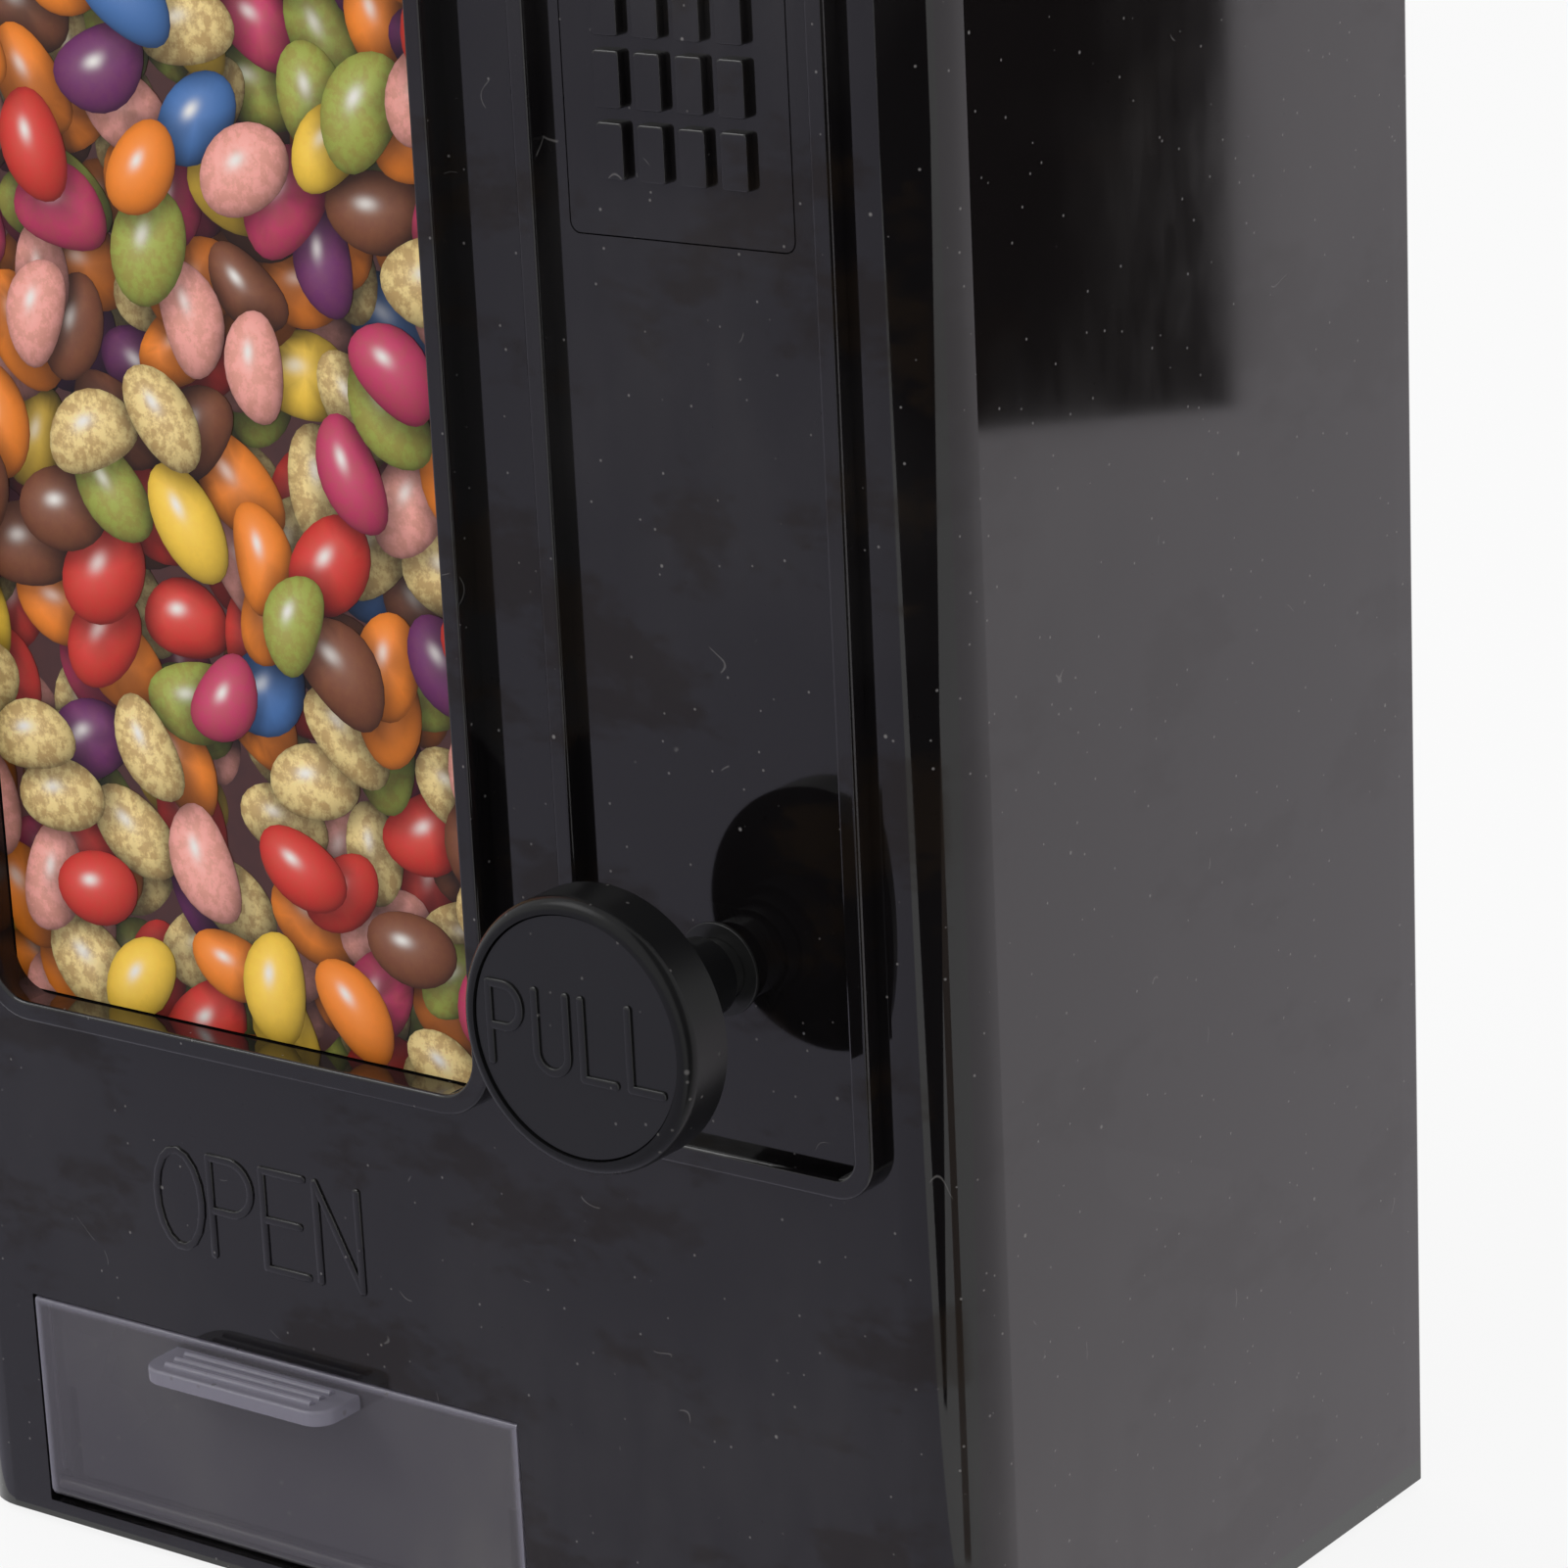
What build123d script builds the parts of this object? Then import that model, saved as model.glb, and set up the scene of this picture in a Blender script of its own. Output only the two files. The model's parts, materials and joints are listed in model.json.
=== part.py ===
"""Counter-top candy dispenser with a pull knob, a clear delivery flap and a coin drawer.

All sizes are in millimetres. The origin is the middle of the footprint on the surface that the
feet stand on. +Z is up, the front faces -Y and +X is to the right as seen from the front.
"""
import os
from math import atan2, cos, pi, radians, sin, sqrt

from build123d import *

# Overall size
width = 152.0
depth = 95.0
shell_height = 250.0
foot_drop = 1.2
wall = 2.2
front_corner_radius = 8.0
top_edge_radius = 5.0
rear_corner_radius = 1.0

# Clearances
seat_gap = 0.15
soft_gap = 0.3
part_gap = 0.2
running_gap = 0.05

# Modelling allowances: how far a cut runs past a face, and how deep a joined shape is rooted
cut_over = 2.0
root_depth = 1.0

# Window frame and printed card
window_side_inset = 15.93
window_width = 73.14
window_corner_radius = 5.0
openings_bottom = 70.15
openings_top_margin = 18.5
rim_width = 2.4
rim_edge_radius = 0.45
window_rim_height = 3.26
card_setback = 0.8
card_thickness = 0.4
card_margin = 0.2

# Control panel
panel_side_inset = 12.13
panel_width = 35.45
panel_corner_radius = 2.5
panel_rim_height = 2.24
control_inset = 30.26

# Keypad plate
insert_width = 28.6
insert_corner_radius = 1.2
insert_depth = 1.4
key_plate_height = 32.7
key_columns = 4
key_rows = 3
key_width = 3.5
key_height = 6.0
key_pitch_x = 5.27
key_pitch_z = 7.4
key_raise = 1.0
key_corner_radius = 0.5
key_edge_radius = 0.25

# Coin plate and coin slot
plate_spacing = 2.5
plate_top_margin = 0.9
coin_plate_height = 28.2
coin_slot_width = 3.0
coin_slot_height = 25.0
coin_bezel_width = 8.0
coin_bezel_raise = 1.2
coin_bezel_margin = 1.2
coin_bezel_radius = 2.6
coin_bezel_edge = 0.6

# Coin chute
coin_play = 0.3
coin_diameter = 26.8
chute_wall = 1.4
chute_track_gap = 0.6
chute_slot_drop = 10.1
chute_bracket_drop = 18.0
chute_exit_inset = 3.9
chute_return_top = 72.0
chute_return_bottom = 46.0
chute_drawer_gap = 0.4

# Knob
knob_z = 90.19
knob_radius = 15.0
knob_face_standoff = 24.89
knob_thickness = 6.3
knob_cap_radius = 13.1
knob_cap_depth = 1.8
knob_cap_recess = 0.3
knob_cap_gap = 0.2
knob_edge_radius = 1.4
hub_steps = ((10.0, 1.6), (8.0, 3.0), (6.5, 4.4), (5.5, 1.9), (4.9, 1.9), (4.4, 3.1))
rod_radius = 3.5
knob_web = 3.6

# Small screws
screw_radius = 1.45
screw_head_radius = 2.8
screw_head_height = 1.1
screw_edge_radius = 0.35
screw_length = 12.0
socket_radius = 0.9

# Guide bush and its nut
bush_radius = 4.7
bush_flange_radius = 5.2
bush_flange_height = 0.3
bush_edge_radius = 0.1
bush_bore_gap = 0.06
nut_flats = 13.0
nut_height = 2.4

# Dispensing slide
slide_travel = 20.0
slide_left_reach = 43.74
slide_right_reach = 10.26
slide_height = 18.0
pocket_side_inset = 4.0
pocket_width = 20.0
pocket_inset = 18.0
pocket_length = 16.0
slide_rear_gap = 4.3
cross_pin_radius = 1.0
cross_pin_inset = 6.0
rod_socket_depth = 12.0

# Return spring
spring_length = 28.9
spring_wire_radius = 0.4
spring_coil_radius = 4.6
spring_turns = 7
spring_steps_per_turn = 4
spring_gap_samples = 24

# Slide track and the chassis that carries it
track_wall = 1.8
track_front_inset = 11.5
drop_margin = 1.0
chassis_wall = 1.8
deck_thickness = 2.5
partition_gap = 2.5
chassis_low_z = 37.0
chassis_flange_reach = 13.5
ledge_width = 3.0
ledge_thickness = 2.0

# Candy bin
bin_wall = 1.6
bin_side_room = 38.0
bin_front_gap = 2.3
bin_rear_gap = 0.4
funnel_top = 150.0
bracket_z = 132.0
bracket_thickness = 3.0
bracket_front_inset = 10.5
bracket_depth = 53.0
bracket_upright = 46.0

# Delivery chute and catch tray
delivery_wall = 1.6
delivery_side_room = 9.0
delivery_high_z = 66.0
delivery_low_z = 40.0
delivery_reach = 19.5
tray_depth = 64.0
tray_wall = 1.6
tray_height = 34.0
tray_cut_back = 17.0
tray_floor_front_z = 4.0
tray_floor_rear_z = 18.4

# Delivery flap
flap_side_inset = 14.6
flap_width = 74.8
flap_bottom = 3.8
flap_height = 26.5
flap_thickness = 2.0
flap_edge_radius = 0.5
flap_gap = 0.35
hinge_setback = 1.6
hinge_pin_radius = 0.75
hinge_bore_gap = 0.07
flap_ear_length = 4.5
flap_ear_rear_y = -42.0
flap_ear_top = 9.0
flap_stop_drop = 1.5
flap_stop_depth = 1.5
tab_width = 28.6
tab_reach = 7.0
tab_thickness = 2.0
tab_edge_radius = 0.4
tab_drop = 1.4
tab_corner_radius = 3.0
tab_ribs = 3
tab_rib_pitch = 1.7
tab_rib_radius = 0.5
cheek_inset = 2.0
cheek_thickness = 1.6
cheek_radius = 13.0
cheek_low_angle = 20.0

# Refill lid
mouth_margin = 2.0
mouth_front_inset = 6.0
mouth_rear_inset = 6.5
lid_side_margin = 10.0
lid_front_margin = 7.5
lid_thickness = 2.6
lid_edge_radius = 1.0
lid_rear_gap = 0.6
lid_lip_height = 5.0
lid_lip_gap = 0.6
lid_lip_wall = 1.6
lid_tab_width = 26.0
lid_tab_reach = 3.0
lid_hinge_inset = 8.0
lid_hinge_half = 40.0
lid_ear_length = 6.0
lid_barrel_radius = 1.7

# Base plate, feet and posts
base_thickness = 2.0
foot_radius = 4.5
foot_stem_radius = 2.0
foot_edge_radius = 0.4
foot_side_inset = 20.0
foot_front_inset = 9.5
foot_rear_inset = 11.5
post_size = 9.0
post_length = 14.0
base_post_front_inset = 12.5
base_post_rear_inset = 19.5
rear_post_low_z = 46.0
rear_post_top_drop = 15.2

# Coin drawer
drawer_tray_gap = 6.9
drawer_post_gap = 0.8
drawer_front_gap = 1.8
drawer_top = 36.2
drawer_wall = 1.6
drawer_face = 2.2
drawer_gap = 0.3
notch_width = 20.0
notch_depth = 8.0
notch_radius = 4.0
rail_width = 2.0
rail_height = 6.0

# Levels that several pieces share
front_y = -depth / 2
back_y = depth / 2
inner_x = width / 2 - wall
inner_front_y = front_y + wall
card_front_y = front_y + card_setback
card_back_y = card_front_y + card_thickness
window_centre_x = (window_width - width) / 2 + window_side_inset
panel_centre_x = (width - panel_width) / 2 - panel_side_inset
control_x = width / 2 - control_inset
cover_front_y = back_y - wall
shell_bottom = foot_drop
shell_top = shell_bottom + shell_height
ceiling_z = shell_top - wall
base_top = shell_bottom + base_thickness
openings_height = shell_top - openings_top_margin - openings_bottom
openings_centre_z = openings_bottom + openings_height / 2
bin_left_x = -(inner_x - post_size - soft_gap)
bin_right_x = width / 2 - bin_side_room
bin_front_y = inner_front_y + bin_front_gap
bin_rear_y = cover_front_y - bin_rear_gap
mouth_left_x = bin_left_x + bin_wall + mouth_margin
mouth_right_x = bin_right_x - bin_wall - mouth_margin
lid_half_width = width / 2 - lid_side_margin
lid_front_y = front_y + lid_front_margin
lid_hinge_y = back_y - lid_hinge_inset
mouth_front_y = lid_front_y + mouth_front_inset
mouth_rear_y = lid_hinge_y - mouth_rear_inset
chute_inner_half = coin_slot_width / 2 + coin_play
chute_outer_half = chute_inner_half + chute_wall
chute_front_y = inner_front_y + part_gap
chute_rear_y = chute_front_y + coin_diameter + 2 * chute_wall
knob_face_y = front_y - knob_face_standoff
knob_back_y = knob_face_y + knob_thickness
knob_cap_seat_y = knob_face_y + knob_cap_recess + knob_cap_depth
knob_screw_seat_y = knob_cap_seat_y + screw_head_height + part_gap
nut_back_y = inner_front_y + nut_height
slide_left_x = control_x - slide_left_reach
slide_right_x = control_x + slide_right_reach
slide_bottom = knob_z - slide_height / 2
slide_top = knob_z + slide_height / 2
slide_front_y = nut_back_y + spring_length
slide_rear_y = cover_front_y - slide_rear_gap
pocket_left_x = slide_left_x + pocket_side_inset
partition_x = pocket_left_x + pocket_width + partition_gap
chassis_front_left_x = partition_x - chassis_flange_reach
delivery_low_x = partition_x - delivery_reach
pocket_front_y = slide_front_y + pocket_inset
drop_front_y = pocket_front_y - slide_travel
track_front_y = front_y + track_front_inset
track_bottom = slide_bottom - soft_gap - track_wall
track_top = slide_top + soft_gap + track_wall
flap_left_x = flap_side_inset - width / 2
flap_right_x = flap_left_x + flap_width
flap_centre_x = (flap_left_x + flap_right_x) / 2
flap_top = flap_bottom + flap_height
flap_axis_y = front_y + hinge_setback
flap_axis_z = flap_bottom + hinge_setback
tray_front_y = flap_axis_y + hinge_setback + soft_gap
tray_rear_y = tray_front_y + tray_depth
delivery_front_y = drop_front_y - delivery_side_room
delivery_rear_y = drop_front_y + pocket_length + delivery_side_room
coin_plate_bottom = shell_top - openings_top_margin - plate_top_margin - coin_plate_height
coin_slot_z = coin_plate_bottom + coin_plate_height / 2
key_plate_bottom = coin_plate_bottom - plate_spacing - key_plate_height
drawer_left_x = flap_right_x + drawer_tray_gap
drawer_right_x = inner_x - post_size - rail_width - drawer_gap - drawer_post_gap
drawer_front_y = inner_front_y + drawer_front_gap
bracket_front_y = front_y + bracket_front_inset
bracket_rear_y = bracket_front_y + bracket_depth
chute_clear_x = slide_right_x + soft_gap + track_wall + chute_track_gap + chute_outer_half
chute_exit_x = drawer_right_x - drawer_wall - chute_outer_half - chute_exit_inset
chute_bend_top = coin_plate_bottom - chute_slot_drop
chute_bend_bottom = bracket_z + chute_bracket_drop
lid_bottom = shell_top + seat_gap
lid_axis_z = lid_bottom + lid_barrel_radius


def block(x0, x1, y0, y1, z0, z1):
    """A box between two corners."""
    return Pos((x0 + x1) / 2, (y0 + y1) / 2, (z0 + z1) / 2) * Box(x1 - x0, y1 - y0, z1 - z0)


def rounded_block(x, z, wide, high, radius, y0, y1):
    """A block with rounded corners as seen from the front, from depth y0 to y1."""
    outline = RectangleRounded(wide, high, radius)
    return Pos(x, y1, z) * Rot(90, 0, 0) * extrude(outline, y1 - y0)


def rod_x(x0, x1, y, z, radius):
    """A round bar along X."""
    return Pos((x0 + x1) / 2, y, z) * Rot(0, 90, 0) * Cylinder(radius, abs(x1 - x0))


def rod_y(x, z, y0, y1, radius):
    """A round bar along Y."""
    return Pos(x, (y0 + y1) / 2, z) * Rot(90, 0, 0) * Cylinder(radius, y1 - y0)


def rod_z(x, y, z0, z1, radius):
    """A round bar along Z."""
    return Pos(x, y, (z0 + z1) / 2) * Cylinder(radius, z1 - z0)


def side_prism(points, x0, x1):
    """A straight prism along X on a closed outline of (y, z) points."""
    face = make_face(Polyline(*[(x0, y, z) for y, z in points], close=True))
    return extrude(face, x1 - x0, dir=(1, 0, 0))


def front_prism(points, y0, y1):
    """A straight prism along Y on a closed outline of (x, z) points."""
    face = make_face(Polyline(*[(x, y0, z) for x, z in points], close=True))
    return extrude(face, y1 - y0, dir=(0, 1, 0))


def rim(x, wide, radius, height):
    """A raised bar frame on the front face, with both of its front edges softened."""
    outer = rounded_block(
        x, openings_centre_z, wide + 2 * rim_width, openings_height + 2 * rim_width, radius + rim_width,
        front_y - height, front_y,
    )
    inner = rounded_block(
        x, openings_centre_z, wide, openings_height, radius, front_y - height - cut_over, front_y + cut_over
    )
    frame = outer - inner
    return fillet(frame.edges().group_by(Axis.Y)[0], rim_edge_radius)


def post_places_base():
    """Corner posts that take the base screws, as (x, y)."""
    x = inner_x - post_size / 2
    rows = (front_y + base_post_front_inset, back_y - base_post_rear_inset)
    return [(sx * x, y) for sx in (-1, 1) for y in rows]


def post_places_rear():
    """Corner posts that take the rear cover's screws, as (x, z)."""
    x = inner_x - post_size / 2
    return [(sx * x, z) for sx in (-1, 1) for z in (rear_post_low_z, shell_top - rear_post_top_drop)]


def screw(x, y, z, turn):
    """A pan head screw with a hexagon socket; its shank points along -Z before it is turned."""
    head = Pos(0, 0, screw_head_height / 2) * Cylinder(screw_head_radius, screw_head_height)
    head = fillet(head.edges().group_by(Axis.Z)[-1], screw_edge_radius)
    shank = Pos(0, 0, -screw_length / 2) * Cylinder(screw_radius, screw_length)
    socket = extrude(RegularPolygon(socket_radius, 6), screw_head_height)
    socket = Pos(0, 0, screw_head_height / 2) * socket
    return Pos(x, y, z) * turn * (head + shank - socket)


def shell_body():
    """The one-piece front, sides and top, open at the back and below."""
    body = block(-width / 2, width / 2, front_y, back_y, shell_bottom, shell_top)
    upright = body.edges().filter_by(Axis.Z).sort_by(Axis.Y)
    body = fillet(upright[:2], front_corner_radius)
    upright = body.edges().filter_by(Axis.Z).sort_by(Axis.Y)
    body = fillet(upright[-2:], rear_corner_radius)
    body = fillet(body.edges().group_by(Axis.Z)[-1], top_edge_radius)
    cavity = block(-inner_x, inner_x, inner_front_y, back_y + cut_over, shell_bottom - cut_over, ceiling_z)
    upright = cavity.edges().filter_by(Axis.Z).sort_by(Axis.Y)
    cavity = fillet(upright[:2], front_corner_radius - wall)
    top = cavity.edges().group_by(Axis.Z)[-1].sort_by(Axis.Y)[:-1]
    cavity = fillet(top, top_edge_radius - wall)
    return body - cavity


def housing_shell():
    """Front, sides and top with the two raised frames, the card's seat and all other seats."""
    shell = shell_body()
    shell += rim(window_centre_x, window_width, window_corner_radius, window_rim_height)
    shell += rim(panel_centre_x, panel_width, panel_corner_radius, panel_rim_height)
    shell -= rounded_block(
        window_centre_x, openings_centre_z, window_width, openings_height, window_corner_radius,
        front_y - window_rim_height - cut_over, card_back_y,
    )
    shell -= insert_pocket(key_plate_bottom, key_plate_height)
    shell -= insert_pocket(coin_plate_bottom, coin_plate_height)
    shell -= coin_passage(front_y, inner_front_y + cut_over)
    shell -= rod_y(
        control_x, knob_z, front_y - cut_over, inner_front_y + cut_over, bush_radius + running_gap
    )
    shell += flap_seats()
    shell -= block(
        flap_left_x - flap_gap, flap_right_x + flap_gap, front_y - cut_over, inner_front_y,
        flap_bottom - flap_gap, flap_top + flap_gap,
    )
    pin_reach = flap_gap + flap_ear_length + cut_over
    shell -= rod_x(
        flap_left_x - pin_reach, flap_right_x + pin_reach,
        flap_axis_y, flap_axis_z, hinge_pin_radius + running_gap,
    )
    for x, y in post_places_base():
        shell += block(
            x - post_size / 2, x + post_size / 2, y - post_size / 2, y + post_size / 2,
            base_top, base_top + post_length,
        )
        shell -= rod_z(x, y, base_top - cut_over, base_top + screw_length, screw_radius + running_gap)
    for x, z in post_places_rear():
        shell += block(
            x - post_size / 2, x + post_size / 2, cover_front_y - post_length, cover_front_y,
            z - post_size / 2, z + post_size / 2,
        )
        shell -= rod_y(
            x, z, cover_front_y - screw_length, cover_front_y + cut_over, screw_radius + running_gap
        )
    shell += ledges()
    shell -= block(
        mouth_left_x, mouth_right_x, mouth_front_y, mouth_rear_y, ceiling_z - cut_over, shell_top + cut_over
    )
    for side in (-1, 1):
        shell += lid_ear(side)
    shell -= rod_x(-width, width, lid_hinge_y, lid_axis_z, hinge_pin_radius + running_gap)
    return shell


def insert_pocket(bottom, height):
    """The shallow seat of a flush plate in the control panel."""
    return rounded_block(
        control_x, bottom + height / 2, insert_width + 2 * seat_gap, height + 2 * seat_gap,
        insert_corner_radius + seat_gap, front_y - cut_over, front_y + insert_depth,
    )


def coin_passage(y0, y1):
    """The upright slot that a coin goes through on edge."""
    return block(
        control_x - coin_slot_width / 2, control_x + coin_slot_width / 2, y0, y1,
        coin_slot_z - coin_slot_height / 2, coin_slot_z + coin_slot_height / 2,
    )


def flap_seats():
    """Two ears that hold the flap's pin, and the rib that the closed flap rests against."""
    left = flap_left_x - flap_gap
    right = flap_right_x + flap_gap
    ear_front = inner_front_y - root_depth
    seats = block(left - flap_ear_length, left, ear_front, flap_ear_rear_y, base_top, flap_ear_top)
    seats += block(right, right + flap_ear_length, ear_front, flap_ear_rear_y, base_top, flap_ear_top)
    seats += block(
        left - flap_stop_depth, right + flap_stop_depth, inner_front_y, inner_front_y + flap_stop_depth,
        flap_top - flap_stop_drop, flap_top + flap_gap + flap_stop_drop,
    )
    return seats


def ledges():
    """Ribs on the side walls that the bin, its bracket and the chassis stand on."""
    side = inner_x - ledge_width
    low = track_bottom - deck_thickness
    front = chute_rear_y + soft_gap
    rear = bin_rear_y - soft_gap
    ribs = block(-inner_x, -side, bin_front_y, rear, funnel_top - ledge_thickness, funnel_top)
    ribs += block(side, inner_x, front, bracket_rear_y, bracket_z - ledge_thickness, bracket_z)
    ribs += block(side, inner_x, front, rear, low - ledge_thickness, low)
    return ribs


def lid_ear(side):
    """One upright ear on the top that holds the end of the lid's hinge pin."""
    x0 = lid_hinge_half + soft_gap
    x1 = x0 + lid_ear_length
    ear = block(
        min(side * x0, side * x1), max(side * x0, side * x1),
        lid_hinge_y - lid_barrel_radius, lid_hinge_y + lid_barrel_radius, shell_top - root_depth, lid_axis_z,
    )
    return ear + rod_x(side * x0, side * x1, lid_hinge_y, lid_axis_z, lid_barrel_radius)


def rear_cover():
    """The flat back, let in flush between the side walls, with the drawer's opening."""
    half = inner_x - part_gap
    cover = block(-half, half, cover_front_y, back_y, shell_bottom, ceiling_z - part_gap)
    cover = fillet(cover.edges().filter_by(Axis.Y).group_by(Axis.Z)[-1], top_edge_radius)
    cover -= block(
        drawer_left_x - drawer_gap, drawer_right_x + drawer_gap, cover_front_y - cut_over, back_y + cut_over,
        base_top, drawer_top + drawer_gap,
    )
    for x, z in post_places_rear():
        cover -= rod_y(x, z, cover_front_y - cut_over, back_y + cut_over, screw_radius + part_gap)
        cover -= rod_y(x, z, back_y - screw_head_height, back_y + cut_over, screw_head_radius + part_gap)
    return cover


def rear_cover_screws():
    """Four screws through the rear cover into the shell's posts."""
    turn = Rot(-90, 0, 0)
    return [screw(x, back_y - screw_head_height, z, turn) for x, z in post_places_rear()]


def base_plate():
    """The floor plate with foot holes, screw seats and the two drawer rails."""
    half = inner_x - part_gap
    plate = block(-half, half, inner_front_y + part_gap, cover_front_y - part_gap, shell_bottom, base_top)
    front_edges = plate.edges().filter_by(Axis.Z).sort_by(Axis.Y)[:2]
    plate = fillet(front_edges, front_corner_radius - wall)
    for x0 in (drawer_left_x - drawer_gap - rail_width, drawer_right_x + drawer_gap):
        plate += block(
            x0, x0 + rail_width, flap_ear_rear_y + part_gap, bin_rear_y,
            base_top - root_depth, base_top + rail_height,
        )
    for x, y in foot_places():
        plate -= rod_z(x, y, shell_bottom - cut_over, base_top + cut_over, foot_stem_radius + running_gap)
    for x, y in post_places_base():
        plate -= rod_z(x, y, shell_bottom - cut_over, base_top + cut_over, screw_radius + part_gap)
        plate -= rod_z(
            x, y, shell_bottom - cut_over, shell_bottom + screw_head_height, screw_head_radius + part_gap
        )
    return plate


def base_screws():
    """Four screws up through the base plate into the shell's posts."""
    turn = Rot(180, 0, 0)
    return [screw(x, y, shell_bottom + screw_head_height, turn) for x, y in post_places_base()]


def foot_places():
    """The middles of the four feet, as (x, y)."""
    x = width / 2 - foot_side_inset
    return [(sx * x, y) for sx in (-1, 1) for y in (front_y + foot_front_inset, back_y - foot_rear_inset)]


def rubber_feet():
    """Four push-in rubber feet."""
    feet = []
    for x, y in foot_places():
        pad = rod_z(x, y, 0, shell_bottom, foot_radius)
        pad = fillet(pad.edges().group_by(Axis.Z)[0], foot_edge_radius)
        feet.append(pad + rod_z(x, y, shell_bottom, base_top - running_gap, foot_stem_radius))
    return feet


def picture_card():
    """The printed card that lies in its seat inside the window frame."""
    return rounded_block(
        window_centre_x, openings_centre_z,
        window_width - 2 * card_margin, openings_height - 2 * card_margin,
        window_corner_radius - card_margin, card_front_y, card_back_y,
    )


def insert_plate(bottom, height):
    """A flush plate for the control panel."""
    return rounded_block(
        control_x, bottom + height / 2, insert_width, height, insert_corner_radius,
        front_y, front_y + insert_depth - running_gap,
    )


def key_plate():
    """The keypad insert: one moulding with a grid of raised key shapes."""
    plate = insert_plate(key_plate_bottom, key_plate_height)
    middle_z = key_plate_bottom + key_plate_height / 2
    for column in range(key_columns):
        for row in range(key_rows):
            x = control_x + (column - (key_columns - 1) / 2) * key_pitch_x
            z = middle_z + (row - (key_rows - 1) / 2) * key_pitch_z
            key = rounded_block(
                x, z, key_width, key_height, key_corner_radius, front_y - key_raise, front_y
            )
            plate += fillet(key.edges().group_by(Axis.Y)[0], key_edge_radius)
    return plate


def coin_plate():
    """The coin insert with a raised bezel round its upright slot."""
    plate = insert_plate(coin_plate_bottom, coin_plate_height)
    bezel = rounded_block(
        control_x, coin_slot_z, coin_bezel_width, coin_slot_height + 2 * coin_bezel_margin,
        coin_bezel_radius, front_y - coin_bezel_raise, front_y,
    )
    plate += fillet(bezel.edges().group_by(Axis.Y)[0], coin_bezel_edge)
    return plate - coin_passage(
        front_y - coin_bezel_raise - cut_over, front_y + insert_depth + cut_over
    )


def ribbon(points, half):
    """The outline of a band of constant width along a path of (x, z) points, with mitred corners."""
    left = []
    right = []
    for i, (x, z) in enumerate(points):
        before = points[max(i - 1, 0)]
        after = points[min(i + 1, len(points) - 1)]
        a = atan2(z - before[1], x - before[0]) if i else atan2(after[1] - z, after[0] - x)
        b = atan2(after[1] - z, after[0] - x) if i < len(points) - 1 else a
        middle = (a + b) / 2
        reach = half / cos((b - a) / 2)
        left.append((x - reach * sin(middle), z + reach * cos(middle)))
        right.append((x + reach * sin(middle), z - reach * cos(middle)))
    return left + right[::-1]


def coin_chute():
    """The flat channel that carries a coin on edge past the slide and down to the drawer."""
    top = coin_plate_bottom + coin_plate_height
    bottom = drawer_top + chute_drawer_gap
    path = [
        (control_x, top), (control_x, chute_bend_top), (chute_clear_x, chute_bend_bottom),
        (chute_clear_x, chute_return_top), (chute_exit_x, chute_return_bottom), (chute_exit_x, bottom),
    ]
    channel = front_prism(ribbon(path, chute_outer_half), chute_front_y, chute_rear_y)
    hollow = [(control_x, top - chute_wall)] + path[1:-1] + [(chute_exit_x, bottom - cut_over)]
    channel -= front_prism(
        ribbon(hollow, chute_inner_half), chute_front_y + chute_wall, chute_rear_y - chute_wall
    )
    return channel - coin_passage(chute_front_y - cut_over, chute_front_y + chute_wall + part_gap)


def funnel(grow):
    """A four-sided taper from the bin down to the outlet, grown outwards by a wall."""
    inset = bin_wall - grow
    top = Rectangle(bin_right_x - bin_left_x - 2 * inset, bin_rear_y - bin_front_y - 2 * inset)
    outlet = Rectangle(pocket_width + 2 * grow, pocket_length + 2 * grow)
    upper = Pos((bin_left_x + bin_right_x) / 2, (bin_front_y + bin_rear_y) / 2, funnel_top) * top
    lower = Pos(pocket_left_x + pocket_width / 2, pocket_front_y + pocket_length / 2, track_top) * outlet
    return loft([lower, upper], ruled=True)


def candy_bin():
    """The open bin with a funnel floor and the flange that stands on the left ledge."""
    walls = block(bin_left_x, bin_right_x, bin_front_y, bin_rear_y, funnel_top, ceiling_z - soft_gap)
    walls += funnel(bin_wall)
    walls += block(
        -inner_x + part_gap, bin_left_x, inner_front_y + front_corner_radius, bin_rear_y - bin_wall,
        funnel_top, funnel_top + bin_wall,
    )
    walls -= block(
        bin_left_x + bin_wall, bin_right_x - bin_wall, bin_front_y + bin_wall, bin_rear_y - bin_wall,
        funnel_top, ceiling_z,
    )
    return walls - funnel(0)


def bin_bracket():
    """The shelf that ties the bin to the right side wall and steadies the coin chute."""
    bracket = block(
        bin_right_x - bin_wall, inner_x - part_gap, bracket_front_y, bracket_rear_y,
        bracket_z, bracket_z + bracket_thickness,
    )
    bracket += block(
        bin_right_x, bin_right_x + bin_wall, bracket_front_y, bracket_rear_y,
        bracket_z, bracket_z + bracket_upright,
    )
    slot_half = chute_outer_half + part_gap
    bracket -= block(
        chute_clear_x - slot_half, chute_clear_x + slot_half,
        bracket_front_y - cut_over, chute_rear_y + part_gap,
        bracket_z - cut_over, bracket_z + bracket_thickness + cut_over,
    )
    return bracket - funnel(bin_wall + part_gap)


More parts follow.
